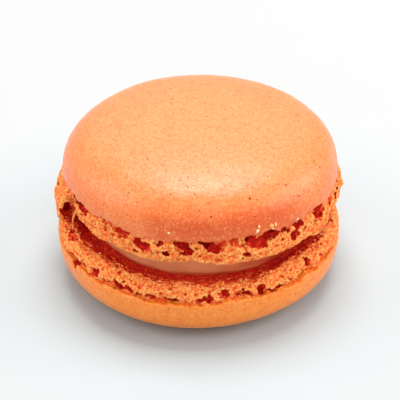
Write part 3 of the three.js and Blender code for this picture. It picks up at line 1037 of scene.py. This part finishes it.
def make_strands():
    """A thin thread of sponge drawn across the gap beside the hanging lobe, thicker where it roots."""
    threads = [
        ([around(-151.2, 21.2, 16.8, UP_AT), around(-153.0, 22.2, 15.2, UP_AT), around(-155.5, 22.0, 12.9, UP_AT),
          around(-160.0, 21.2, 9.3, UP_AT)], (0.26, 0.15, 0.09, 0.15), 1.0),
    ]
    b = None
    sides = 10
    for n, (p, size, _) in enumerate(threads):
        u = np.linspace(0, 1, 26)
        w = [(1 - u)**3, 3 * u * (1 - u)**2, 3 * u * u * (1 - u), u**3]
        path = sum(wk[:, None] * pk for wk, pk in zip(w, p))
        thick = np.interp(u, [0, 0.12, 0.38, 0.68, 0.90, 1], [size[0], 0.55 * size[0], size[1], size[2], 0.6 * size[3], size[3]])
        along = np.gradient(path, axis=0)
        along /= np.linalg.norm(along, axis=1, keepdims=True)
        side = np.cross(along, [0.3, 0.2, 1.0])
        side /= np.linalg.norm(side, axis=1, keepdims=True)
        other = np.cross(along, side)
        a = np.arange(sides) * (TAU / sides)
        last = None
        for k in range(len(u)):
            ring = path[k] + thick[k] * (1.25 * np.cos(a)[:, None] * side[k] + 0.8 * np.sin(a)[:, None] * other[k])
            ring = ring + 0.03 * np.stack([lattice(ring, 0.4, 120 + n), lattice(ring, 0.4, 130 + n), lattice(ring, 0.4, 140 + n)], 1)
            if b is None:
                b = Build(ring, np.zeros((0, 4), int))
                new = np.arange(sides)
            else:
                new = b.add(ring)
            if last is None:
                b.fan(new, b.add(path[k][None])[0], True)
            else:
                b.band(last, new, False)
            last = new
        b.fan(last, b.add(path[-1][None])[0], False)
    xyz, quads, tris, _ = b.arrays()
    # its sky is counted a little more open than it is, so the thread gets less painted shade
    return mesh_object("foot_strands", xyz, quads, tris, lambda p, n: {
        "fine": np.full(len(p), 0.36), "deep": np.zeros(len(p)), "crust": np.zeros(len(p)), "open": sky.over(p, n) + 0.15})


def trees_of(shells):
    from mathutils.bvhtree import BVHTree
    trees = []
    for ob in shells:
        co = np.empty(len(ob.data.vertices) * 3, np.float32)
        ob.data.vertices.foreach_get("co", co)
        trees.append(BVHTree.FromPolygons((co.reshape(-1, 3) / MM).tolist(), [tuple(q.vertices) for q in ob.data.polygons]))
    say("trees")
    return trees


def seen_at(x, y):
    """Where the line of sight through a place of the 400 x 400 picture starts, in mm, and which way it goes."""
    k = 36.0 / cam_data.lens / 400.0
    way = -cam_back + cam_up * ((200.0 - y) * k) + Vector((1, 0, 0)) * ((x - 200.0) * k)
    return camera.location / MM, way.normalized()


# Crumbs on the crust at the front: (x, y, size in mm, shape, paleness)
PALE_CRUMBS = [(257.4, 230.6, 0.21, (0.9, 0.9, 0.5), 1.0), (258.8, 226.8, 0.20, (1.0, 1.0, 0.35), 0.30), (256.6, 232.4, 0.15, (0.9, 0.9, 0.5), 0.95),
               (271.2, 225.8, 0.24, (1.1, 0.8, 0.3), 0.05), (275.4, 224.2, 0.22, (1.2, 0.6, 0.35), 0.45), (272.8, 228.4, 0.15, (1.5, 0.7, 0.4), 0.7),
               (297.0, 219.0, 0.22, (1.0, 0.7, 0.5), 0.8), (296.0, 221.5, 0.15, (1.0, 0.8, 0.5), 1.0), (168.8, 233.0, 0.13, (1.0, 1.0, 0.6), 0.9)]
# Brown almond flecks in the upper crust: (x, y, half width in mm, darkness)
FLECKS = [(286.0, 185.0, 0.20, 1.0), (249.8, 198.6, 0.22, 1.0), (289.6, 206.2, 0.15, 0.9), (211.2, 216.6, 0.17, 0.95), (128.5, 193.0, 0.14, 0.9),
          (107.8, 180.2, 0.12, 0.6), (170.8, 194.2, 0.15, 0.6), (194.6, 194.6, 0.16, 0.5), (165.8, 171.0, 0.13, 0.7), (188.3, 177.0, 0.14, 0.55),
          (179.2, 180.8, 0.15, 0.45), (196.5, 181.0, 0.12, 0.5), (188.0, 186.8, 0.15, 0.45), (170.8, 88.6, 0.17, 0.6), (269.3, 97.6, 0.16, 0.6),
          (207.5, 116.3, 0.14, 0.45), (210.0, 127.0, 0.15, 0.35), (147.8, 159.3, 0.13, 0.5), (186.8, 159.3, 0.12, 0.45), (216.5, 155.3, 0.13, 0.4),
          (252.0, 188.0, 0.14, 0.5), (294.0, 195.8, 0.14, 0.6), (277.5, 184.2, 0.15, 0.4), (190.2, 196.0, 0.13, 0.5), (255.0, 216.4, 0.12, 0.6)]


def make_crumbs(trees):
    """Crumbs of baked meringue lying on the shells: a few pale ones at the front of the upper crust's edge, then fine
    ones on the feet. Each is a lump sunk a little into what carries it."""
    rng = np.random.default_rng(205)
    me = bpy.data.meshes.new("lump")
    import bmesh
    bm = bmesh.new()
    bmesh.ops.create_icosphere(bm, subdivisions=2, radius=1.0)
    ball = np.array([v.co[:] for v in bm.verts])
    faces = np.array([[v.index for v in f.verts] for f in bm.faces])
    bm.free()
    bpy.data.meshes.remove(me)
    xyz, tris, pale = [], [], []
    count = 0

    def lump(spot, normal, size, squash, tone, sunk=0.35):
        nonlocal count
        n = np.array(normal)
        side = np.cross(n, rng.normal(size=3))
        side /= np.linalg.norm(side)
        other = np.cross(n, side)
        shape = ball * (1 + 0.28 * lattice(ball, 0.9, int(rng.integers(1, 1 << 30)))[:, None] + 0.12 * lattice(ball, 0.45, int(rng.integers(1, 1 << 30)))[:, None])
        pts = spot + size * (shape[:, :1] * side * squash[0] + shape[:, 1:2] * other * squash[1] + (shape[:, 2:3] * squash[2] + squash[2] * (1 - 2 * sunk)) * n)
        xyz.append(pts)
        tris.append(faces + count)
        pale.append(np.full(len(pts), tone))
        count += len(pts)

    def cast(tree, start, toward):
        hit, normal, _, _ = tree.ray_cast(Vector(start), Vector(toward), 900.0)
        return (np.array(hit), np.array(normal)) if hit is not None else (None, None)

    # the pale ones at the front
    for x, y, size, squash, tone in PALE_CRUMBS:
        hit, normal = cast(trees[0], *seen_at(x, y))
        if hit is not None:
            lump(hit, normal, 1.22 * size, squash, tone)
    # fine crumbs on the lower foot and on the upper foot's lobe, dropped from above or from the side
    for _ in range(130):
        t = rng.uniform(0, TAU)
        if rng.uniform() < 0.75:
            r = rng.uniform(19.6, 22.2)
            start = np.array([r * math.cos(t) + LOW_AT[0], r * math.sin(t) + LOW_AT[1], 12.6])
            toward = np.array([0.0, 0.0, -1.0])
            tree = trees[1]
        else:
            z = rng.uniform(14.5, 17.5)
            toward = -np.array([math.cos(t), math.sin(t), 0.0])
            start = np.array([UP_AT[0], UP_AT[1], z]) - toward * 40
            tree = trees[0]
        hit, normal = cast(tree, start, toward)
        if hit is not None:
            size = float(rng.uniform(0.07, 0.17))
            lump(hit, normal, size, rng.uniform(0.7, 1.2, 3), float(rng.uniform(0, 0.5)), 0.45)
    pts, fcs, tone = np.concatenate(xyz), np.concatenate(tris), np.concatenate(pale)
    ob = mesh_object("crumbs", pts, np.zeros((0, 4), int), fcs)
    at = ob.data.attributes.new("pale", "FLOAT", "POINT")
    at.data.foreach_set("value", tone.astype(np.float32))
    return ob


def make_flecks(trees):
    """Flat brown flecks of almond skin, level with the crust that holds them: some at their places on the side that
    shows, and others like them all over both shells."""
    rng = np.random.default_rng(311)
    sides = 12
    a = np.arange(sides) * (TAU / sides)
    xyz, quads, tris, dark = [], [], [], []
    count = 0

    def fleck(tree, start, toward, size, tone):
        nonlocal count
        hit, normal, _, _ = tree.ray_cast(Vector(start), Vector(toward), 900.0)
        if hit is None:
            return
        n, hit = np.array(normal), np.array(hit)
        side = np.cross(n, rng.normal(size=3))
        side /= np.linalg.norm(side)
        other = np.cross(n, side)
        long, ragged = rng.uniform(1.0, 1.5), 1 + rng.uniform(-0.22, 0.22, sides)
        rim = size * ragged[:, None] * (np.cos(a)[:, None] * side * long + np.sin(a)[:, None] * other)
        # a low cap over a short skirt that goes down into the crust, closed underneath
        rows = [hit - 0.05 * n + 0.9 * rim, hit + 0.012 * n + rim, hit + 0.028 * n + 0.6 * rim]
        first = count
        for row in rows:
            xyz.append(row)
        xyz.append(np.stack([hit - 0.05 * n, hit + 0.034 * n]))
        k = np.arange(sides)
        for low in (0, 1):
            quads.append(first + np.stack([low * sides + k, low * sides + (k + 1) % sides, (low + 1) * sides + (k + 1) % sides, (low + 1) * sides + k], 1))
        tris.append(first + np.stack([(k + 1) % sides, k, np.full(sides, 3 * sides)], 1))
        tris.append(first + np.stack([2 * sides + k, 2 * sides + (k + 1) % sides, np.full(sides, 3 * sides + 1)], 1))
        dark.append(np.full(3 * sides + 2, tone))
        count += 3 * sides + 2

    for x, y, size, tone in FLECKS:
        fleck(trees[0], *seen_at(x, y), 0.78 * size, 0.85 * tone)
    for _ in range(110):
        t, high = rng.uniform(0, TAU), rng.uniform() < 0.72
        size, tone = float(rng.uniform(0.06, 0.10) if rng.uniform() < 0.85 else rng.uniform(0.10, 0.15)), float(rng.uniform(0.10, 0.45))
        if high:
            u = rng.uniform(0.02, 1.0)
            start = np.array([21.0 * math.sqrt(u) * math.cos(t) + UP_AT[0], 21.0 * math.sqrt(u) * math.sin(t) + UP_AT[1], 40.0])
            fleck(trees[0], start, np.array([0.0, 0.0, -1.0]), size, tone)
        else:
            out = np.array([math.cos(t), math.sin(t), 0.0])
            z = rng.uniform(2.5, 7.0)
            fleck(trees[1], np.array([LOW_AT[0], LOW_AT[1], z]) + out * 40, -out, size, tone)
    ob = mesh_object("almond_flecks", np.concatenate(xyz), np.concatenate(quads), np.concatenate(tris))
    at = ob.data.attributes.new("dark", "FLOAT", "POINT")
    at.data.foreach_set("value", np.concatenate(dark).astype(np.float32))
    return ob


upper = make_upper()
lower = make_lower()
filling = make_filling()
strands = make_strands()
trees = trees_of((upper, lower))
crumbs = make_crumbs(trees)
flecks = make_flecks(trees)
say("meshes")


# =====================================================================================
# Materials
# =====================================================================================
class Nodes:
    """Short hand for building a material's nodes."""

    def __init__(self, name):
        self.mat = bpy.data.materials.new(name)
        self.mat.use_nodes = True
        self.tree = self.mat.node_tree
        self.tree.nodes.clear()

    def new(self, kind, **values):
        n = self.tree.nodes.new(kind)
        for k, v in values.items():
            setattr(n, k, v)
        return n

    def link(self, a, b):
        self.tree.links.new(a, b)

    def put(self, socket, value):
        if hasattr(value, "is_output"):
            self.link(value, socket)
        else:
            socket.default_value = value

    def attr(self, name):
        return self.new("ShaderNodeAttribute", attribute_name=name).outputs["Fac"]

    def math(self, op, a, b=0.0, c=0.0, clamp=False):
        n = self.new("ShaderNodeMath", operation=op, use_clamp=clamp)
        for k, v in enumerate((a, b, c)):
            self.put(n.inputs[k], v)
        return n.outputs[0]

    def span(self, value, low, high, to_low=0.0, to_high=1.0, smooth=True):
        n = self.new("ShaderNodeMapRange", interpolation_type="SMOOTHSTEP" if smooth else "LINEAR")
        self.put(n.inputs["Value"], value)
        for key, v in (("From Min", low), ("From Max", high), ("To Min", to_low), ("To Max", to_high)):
            n.inputs[key].default_value = v
        return n.outputs["Result"]

    def mix(self, share, a, b, blend="MIX"):
        n = self.new("ShaderNodeMix", data_type="RGBA", blend_type=blend)
        self.put(n.inputs["Factor"], share)
        self.put(n.inputs["A"], a)
        self.put(n.inputs["B"], b)
        # A and B appear once for each data type
        for s in n.inputs:
            if s.type == "RGBA" and s.name == "A":
                self.put(s, a)
            if s.type == "RGBA" and s.name == "B":
                self.put(s, b)
        return [o for o in n.outputs if o.type == "RGBA"][0]

    def noise(self, scale, detail=2.0, rough=0.5, where=None):
        n = self.new("ShaderNodeTexNoise")
        n.inputs["Scale"].default_value = scale
        n.inputs["Detail"].default_value = detail
        n.inputs["Roughness"].default_value = rough
        self.link(where or self.place, n.inputs["Vector"])
        return n.outputs["Fac"]

    def ready(self):
        self.place = self.new("ShaderNodeTexCoord").outputs["Object"]


def rgb(r, g, b):
    """sRGB 0-255 to a linear colour."""
    return tuple(((v / 255) / 12.92 if v / 255 <= 0.04045 else ((v / 255 + 0.055) / 1.055)**2.4) for v in (r, g, b)) + (1.0,)


SHEEN = 0.04


def shell_material(name, crust_low, crust_high, crust_deep, crust_light, rim, is_crust):
    """Colours are linear. crust_low and crust_high are the crust's soft variation, crust_deep and crust_light its
    grain. rim, where given, holds two colours of painted shade: a darker, deeper orange band low on the front of the
    dome only, where it faces less light. The same colours are on both parts of a shell, so that no seam shows; only the
    finish differs."""
    m = Nodes(name + (" crust" if is_crust else " foot"))
    m.ready()
    fine, deep, crust, open_ = (m.attr(k) for k in ("fine", "deep", "crust", "open"))
    place = m.new("ShaderNodeSeparateXYZ")
    m.link(m.place, place.inputs[0])
    y, z = place.outputs["Y"], place.outputs["Z"]

    def dots(scale, near, far, kept, channel):
        """Round dots, in that share of the cells."""
        vor = m.new("ShaderNodeTexVoronoi", feature="F1")
        vor.inputs["Scale"].default_value = scale
        m.link(m.place, vor.inputs["Vector"])
        pick = m.new("ShaderNodeSeparateColor")
        m.link(vor.outputs["Color"], pick.inputs["Color"])
        return m.math("MULTIPLY", m.span(vor.outputs["Distance"], near, far, 1, 0), m.math("LESS_THAN", pick.outputs[channel], kept))

    # what lies deep in a hollow has no crust on it
    crust = m.math("MULTIPLY", crust, m.span(deep, 0.14, 0.42, 1, 0))

    # crust: orange with soft, cloudy variation, mottled, with a fine grain and small darker dots
    cloudy = m.noise(130, 2, 0.5)
    crust_col = m.mix(m.span(cloudy, 0.35, 0.65), crust_low, crust_high)
    near_rim = 0.0
    if rim:
        # painted shade: the band is at the front only, a little to the right, where the dome faces less light
        ahead = m.math("ADD", m.math("SUBTRACT", y, m.math("MULTIPLY", place.outputs["X"], 0.20)), m.math("MULTIPLY", m.math("SUBTRACT", cloudy, 0.5), 0.006))
        front = m.span(ahead, -0.0158, -0.0208)
        # painted shade: darker and a deeper orange towards the edge, on the front only
        uneven = m.math("ADD", z, m.math("MULTIPLY", m.math("SUBTRACT", m.noise(420, 2, 0.5), 0.5), 0.0016))
        band = m.math("MULTIPLY", m.span(uneven, 0.0238, 0.0211), front)
        crust_col = m.mix(band, crust_col, rim[0])
        crust_col = m.mix(m.math("MULTIPLY", m.span(uneven, 0.0202, 0.0188), front), crust_col, rim[1])
        near_rim = m.span(uneven, 0.0218, 0.0200)
    patches = m.noise(1350, 2, 0.6)
    crust_col = m.mix(m.span(patches, 0.50, 0.66, 0, 0.50), crust_col, crust_deep)
    crust_col = m.mix(m.span(patches, 0.50, 0.34, 0, 0.38), crust_col, crust_light)
    grain = m.noise(3300, 2, 0.7)
    crust_col = m.mix(m.span(grain, 0.50, 0.66, 0, 0.80), crust_col, crust_deep)
    crust_col = m.mix(m.span(grain, 0.49, 0.34, 0, 0.65), crust_col, crust_light)
    dark_dots = dots(1150, 0.10, 0.24, 0.45, "Green")
    crust_col = m.mix(m.math("MULTIPLY", dark_dots, 0.70), crust_col, (0.60, 0.080, 0.010, 1))
    if rim:
        light_dots = m.math("MULTIPLY", m.span(m.noise(1500, 2, 0.6), 0.62, 0.74), near_rim)
        crust_col = m.mix(m.math("MULTIPLY", light_dots, 0.35), crust_col, (0.90, 0.24, 0.035, 1))
        rim_pits = m.math("MULTIPLY", dots(800, 0.10, 0.22, 0.4, "Blue"), near_rim)
        crust_col = m.mix(m.math("MULTIPLY", rim_pits, 0.6), crust_col, (0.52, 0.05, 0.006, 1))

    # foot: orange with a yellow and dark grain and dark red dots for pores; painted highlight on its ridges, painted
    # shade in its pits and hollows
    mottle = m.noise(850, 3, 0.6)
    foot_col = m.mix(m.span(mottle, 0.36, 0.66), (0.90, 0.178, 0.026, 1), (0.94, 0.29, 0.060, 1))
    # painted highlight: ridges, where little solid stands close round, are painted a lighter yellow-orange
    ridge_highlight = m.span(m.math("ADD", fine, m.math("MULTIPLY", mottle, -0.06)), 0.46, 0.30)
    foot_col = m.mix(m.math("MULTIPLY", ridge_highlight, 0.6), foot_col, (0.96, 0.39, 0.10, 1))
    gold = m.span(m.noise(1700, 2, 0.6), 0.52, 0.66)
    foot_col = m.mix(m.math("MULTIPLY", gold, 0.6), foot_col, (0.96, 0.41, 0.065, 1))
    speckle = m.noise(3000, 2, 0.75)
    foot_col = m.mix(m.span(speckle, 0.48, 0.34, 0, 0.75), foot_col, (0.98, 0.54, 0.20, 1))
    foot_col = m.mix(m.span(speckle, 0.51, 0.64, 0, 0.85), foot_col, (0.76, 0.075, 0.008, 1))
    # painted shade: pits, closely walled in, are painted a dark red
    pit_shade = m.span(m.math("ADD", fine, m.math("MULTIPLY", mottle, 0.10)), 0.55, 0.68)
    foot_col = m.mix(m.math("MULTIPLY", pit_shade, 0.75), foot_col, (0.80, 0.045, 0.010, 1))
    pin = m.math("MAXIMUM", dots(1500, 0.10, 0.30, 0.34, "Green"), dots(950, 0.08, 0.22, 0.32, "Red"))
    pin = m.math("MAXIMUM", pin, dots(2300, 0.12, 0.36, 0.24, "Blue"))
    foot_col = m.mix(m.math("MULTIPLY", pin, 0.80), foot_col, (0.52, 0.070, 0.010, 1))
    # painted shade: deep in the hollows the foot is painted a dark red
    hollow = m.math("MAXIMUM", m.span(deep, 0.28, 0.80), m.span(fine, 0.64, 0.80))
    hollow_shade_red = m.mix(m.span(m.noise(1250, 3, 0.6), 0.42, 0.66), (0.60, 0.005, 0.003, 1), (0.88, 0.080, 0.032, 1))
    foot_col = m.mix(m.math("MULTIPLY", hollow, 0.93), foot_col, hollow_shade_red)
    # painted shade: where little sky is open, towards the gap, the foot deepens through a burnt orange to a dark red;
    # on the lower shell there is more of it on the left
    grit = m.noise(2500, 3, 0.65)
    painted_shade_share = m.math("ADD", m.math("ADD", open_, m.math("MULTIPLY", place.outputs["X"], 0.0 if rim else 2.0)), m.math("MULTIPLY", m.math("SUBTRACT", grit, 0.5), 1.25))
    foot_col = m.mix(m.math("MULTIPLY", m.span(painted_shade_share, 0.62, 0.38), 0.78), foot_col, (0.82, 0.092, 0.010, 1))
    # painted shade, the darkest: a dark red where the sky is least open
    painted_shade_red = m.mix(m.span(m.noise(1000, 3, 0.6), 0.42, 0.68), (0.53, 0.004, 0.002, 1), (0.72, 0.020, 0.006, 1))
    foot_col = m.mix(m.math("MULTIPLY", m.span(painted_shade_share, 0.44, 0.22), 0.96), foot_col, painted_shade_red)

    base = m.mix(crust, foot_col, crust_col)

    bsdf = m.new("ShaderNodeBsdfPrincipled")
    out = m.new("ShaderNodeOutputMaterial")
    m.link(base, bsdf.inputs["Base Color"])
    if is_crust:
        m.link(m.span(grain, 0.30, 0.70, 0.28, 0.37, smooth=False), bsdf.inputs["Roughness"])
        bsdf.inputs["IOR"].default_value = 1.5
        bsdf.inputs["Sheen Weight"].default_value = SHEEN
        bsdf.inputs["Sheen Roughness"].default_value = 0.35
        bsdf.inputs["Sheen Tint"].default_value = (1, 1, 1, 1)
    else:
        m.link(m.span(grit, 0.30, 0.70, 0.80, 0.92, smooth=False), bsdf.inputs["Roughness"])
        bsdf.inputs["IOR"].default_value = 1.45
        bsdf.inputs["Specular IOR Level"].default_value = 0.3

    fine_bump = m.noise(4800, 3, 0.65)
    mid_bump = m.noise(1500, 2, 0.5)
    height = m.math("ADD", m.math("MULTIPLY", fine_bump, 0.6), m.math("MULTIPLY", mid_bump, 0.9))
    height = m.math("SUBTRACT", height, m.math("MULTIPLY", dark_dots if is_crust else pin, 0.35))
    bump = m.new("ShaderNodeBump")
    bump.inputs["Distance"].default_value = 0.00012 if is_crust else 0.00026
    bump.inputs["Strength"].default_value = 0.6 if is_crust else 0.9
    m.link(height, bump.inputs["Height"])
    m.link(bump.outputs["Normal"], bsdf.inputs["Normal"])
    m.link(bsdf.outputs["BSDF"], out.inputs["Surface"])
    return m.mat


def filling_material():
    m = Nodes("macaron filling")
    m.ready()
    open_ = m.attr("open")
    place = m.new("ShaderNodeSeparateXYZ")
    m.link(m.place, place.inputs[0])
    soft = m.noise(220, 3, 0.5)
    col = m.mix(m.span(soft, 0.35, 0.68), rgb(235, 152, 100), rgb(243, 170, 120))
    # painted shade: redder where little sky is open, under the upper shell
    col = m.mix(m.math("MULTIPLY", m.span(open_, 0.34, 0.08), 0.75), col, rgb(205, 84, 44))
    # painted shade: browner towards the right, where the gap closes and less light gets in
    col = m.mix(m.math("MULTIPLY", m.span(place.outputs["X"], 0.001, 0.011), 0.8), col, rgb(200, 62, 30))
    bsdf = m.new("ShaderNodeBsdfPrincipled")
    out = m.new("ShaderNodeOutputMaterial")
    m.link(col, bsdf.inputs["Base Color"])
    m.link(m.span(m.noise(700, 2, 0.5), 0.3, 0.7, 0.34, 0.48, smooth=False), bsdf.inputs["Roughness"])
    bsdf.inputs["IOR"].default_value = 1.45
    bump = m.new("ShaderNodeBump")
    bump.inputs["Distance"].default_value = 0.00008
    bump.inputs["Strength"].default_value = 0.25
    m.link(m.noise(900, 2, 0.5), bump.inputs["Height"])
    m.link(bump.outputs["Normal"], bsdf.inputs["Normal"])
    m.link(bsdf.outputs["BSDF"], out.inputs["Surface"])
    return m.mat


def crumb_material():
    m = Nodes("meringue crumb")
    m.ready()
    col = m.mix(m.span(m.noise(2400, 2, 0.5), 0.35, 0.65), (0.90, 0.34, 0.060, 1), (0.92, 0.45, 0.095, 1))
    col = m.mix(m.attr("pale"), col, (0.96, 0.76, 0.46, 1))
    bsdf = m.new("ShaderNodeBsdfPrincipled")
    out = m.new("ShaderNodeOutputMaterial")
    m.link(col, bsdf.inputs["Base Color"])
    bsdf.inputs["Roughness"].default_value = 0.7
    bsdf.inputs["IOR"].default_value = 1.45
    bump = m.new("ShaderNodeBump")
    bump.inputs["Distance"].default_value = 0.00004
    bump.inputs["Strength"].default_value = 0.6
    m.link(m.noise(6000, 2, 0.6), bump.inputs["Height"])
    m.link(bump.outputs["Normal"], bsdf.inputs["Normal"])
    m.link(bsdf.outputs["BSDF"], out.inputs["Surface"])
    return m.mat


# the last pair is the front band's painted shade: darker, deeper orange than the crust's own colours
UPPER_CRUST = ((0.78, 0.190, 0.043, 1), (0.79, 0.206, 0.050, 1), (0.72, 0.118, 0.014, 1), (0.84, 0.275, 0.088, 1),
               ((0.62, 0.054, 0.001, 1), (0.69, 0.094, 0.003, 1)))
LOWER_CRUST = ((0.87, 0.228, 0.012, 1), (0.89, 0.250, 0.020, 1), (0.82, 0.145, 0.004, 1), (0.90, 0.335, 0.070, 1), None)


def two_finishes(ob, crust_mat, foot_mat):
    """The crust's finish on the faces of crust, the foot's on the others and deep in the hollows."""
    me = ob.data
    crust, deep = np.empty(len(me.vertices), np.float32), np.empty(len(me.vertices), np.float32)
    me.attributes["crust"].data.foreach_get("value", crust)
    me.attributes["deep"].data.foreach_get("value", deep)
    crust = crust * (1 - ramp(0.14, 0.42, deep))
    corner = np.empty(len(me.loops), np.int32)
    me.loops.foreach_get("vertex_index", corner)
    start = np.empty(len(me.polygons), np.int32)
    me.polygons.foreach_get("loop_start", start)
    size = np.diff(np.append(start, len(corner)))
    mean = np.add.reduceat(crust[corner], start) / size
    me.materials.append(crust_mat)
    me.materials.append(foot_mat)
    me.polygons.foreach_set("material_index", (mean < 0.5).astype(np.int32))
    me.update()


def fleck_material():
    m = Nodes("almond fleck")
    m.ready()
    col = m.mix(m.attr("dark"), (0.60, 0.095, 0.013, 1), (0.120, 0.022, 0.005, 1))
    col = m.mix(m.span(m.noise(9000, 2, 0.5), 0.40, 0.65, 0, 0.35), col, (0.40, 0.07, 0.015, 1))
    bsdf = m.new("ShaderNodeBsdfPrincipled")
    out = m.new("ShaderNodeOutputMaterial")
    m.link(col, bsdf.inputs["Base Color"])
    bsdf.inputs["Roughness"].default_value = 0.85
    bsdf.inputs["IOR"].default_value = 1.4
    bsdf.inputs["Specular IOR Level"].default_value = 0.2
    bump = m.new("ShaderNodeBump")
    bump.inputs["Distance"].default_value = 0.00002
    bump.inputs["Strength"].default_value = 0.5
    m.link(m.noise(8000, 2, 0.6), bump.inputs["Height"])
    m.link(bump.outputs["Normal"], bsdf.inputs["Normal"])
    m.link(bsdf.outputs["BSDF"], out.inputs["Surface"])
    return m.mat


upper_mats = [shell_material("upper shell", *UPPER_CRUST, part) for part in (True, False)]
lower_mats = [shell_material("lower shell", *LOWER_CRUST, part) for part in (True, False)]
two_finishes(upper, *upper_mats)
two_finishes(lower, *lower_mats)
filling.data.materials.append(filling_material())
for ob, node, slot in ((upper, "upper_shell", "shell"), (lower, "lower_shell", "shell"), (filling, "filling", "filling")):
    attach(ob, "root")
    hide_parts(node)
for ob, mat in ((strands, upper_mats[1]), (crumbs, crumb_material()), (flecks, fleck_material())):
    ob.data.materials.append(mat)
    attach(ob, "root")

# =====================================================================================
# Floor, lights and world
# =====================================================================================
def floor_material():
    m = Nodes("studio floor")
    m.ready()
    bsdf = m.new("ShaderNodeBsdfPrincipled")
    out = m.new("ShaderNodeOutputMaterial")
    away = m.new("ShaderNodeVectorMath", operation="LENGTH")
    m.link(m.place, away.inputs[0])
    plain = m.mix(m.noise(3, 1, 0.5), (0.455, 0.455, 0.455, 1), (0.465, 0.465, 0.465, 1))
    # painted light: cooler near the macaron, against the orange light it bounces onto the floor
    m.link(m.mix(m.span(away.outputs["Value"], 0.060, 0.022), plain, (0.440, 0.480, 0.488, 1)), bsdf.inputs["Base Color"])
    bsdf.inputs["Roughness"].default_value = 0.9
    bsdf.inputs["Specular IOR Level"].default_value = 0.0
    m.link(bsdf.outputs["BSDF"], out.inputs["Surface"])
    return m.mat


bpy.ops.mesh.primitive_plane_add(size=6.0, location=(0, 0, 0))
floor = bpy.context.object
floor.name = "floor"
floor.data.materials.append(floor_material())


def panel(name, azimuth, elevation, distance, width, height, power, color=(1, 1, 1), look=(0, 0, 0.012)):
    """A soft box; azimuth 0 is behind the macaron (+Y), 90 on its right (+X)."""
    a, e = math.radians(azimuth), math.radians(elevation)
    data = bpy.data.lights.new(name, "AREA")
    data.shape = "RECTANGLE"
    data.size, data.size_y = width, height
    data.energy = power
    data.color = color
    ob = bpy.data.objects.new(name, data)
    here = Vector((math.sin(a) * math.cos(e), math.cos(a) * math.cos(e), math.sin(e))) * distance + Vector(look)
    ob.location = here
    ob.rotation_euler = (Vector(look) - here).to_track_quat("-Z", "Y").to_euler()
    scene.collection.objects.link(ob)
    return ob


panel("key soft box", 5, 74, 0.62, 0.40, 0.26, 4.0)
panel("back wall", 0, 33, 0.70, 1.00, 0.45, 1.7)
panel("left soft box", -90, 28, 0.60, 0.50, 0.40, 1.7)
panel("right soft box", 90, 28, 0.60, 0.50, 0.40, 2.4)
for fill_light in (panel("front reflector", 180, 8, 0.70, 0.80, 0.30, 0.8), panel("front bounce", 180, 50, 0.70, 0.50, 0.50, 1.5)):
    fill_light.visible_glossy = False

world = bpy.data.worlds.new("studio")
world.use_nodes = True
world.node_tree.nodes["Background"].inputs["Color"].default_value = (1, 1, 1, 1)
world.node_tree.nodes["Background"].inputs["Strength"].default_value = 0.40
scene.world = world

scene.view_settings.view_transform = "Standard"
scene.view_settings.look = "None"
scene.view_settings.exposure = 0.0
scene.view_settings.gamma = 1.0
scene.cycles.use_denoising = True

say("scene")
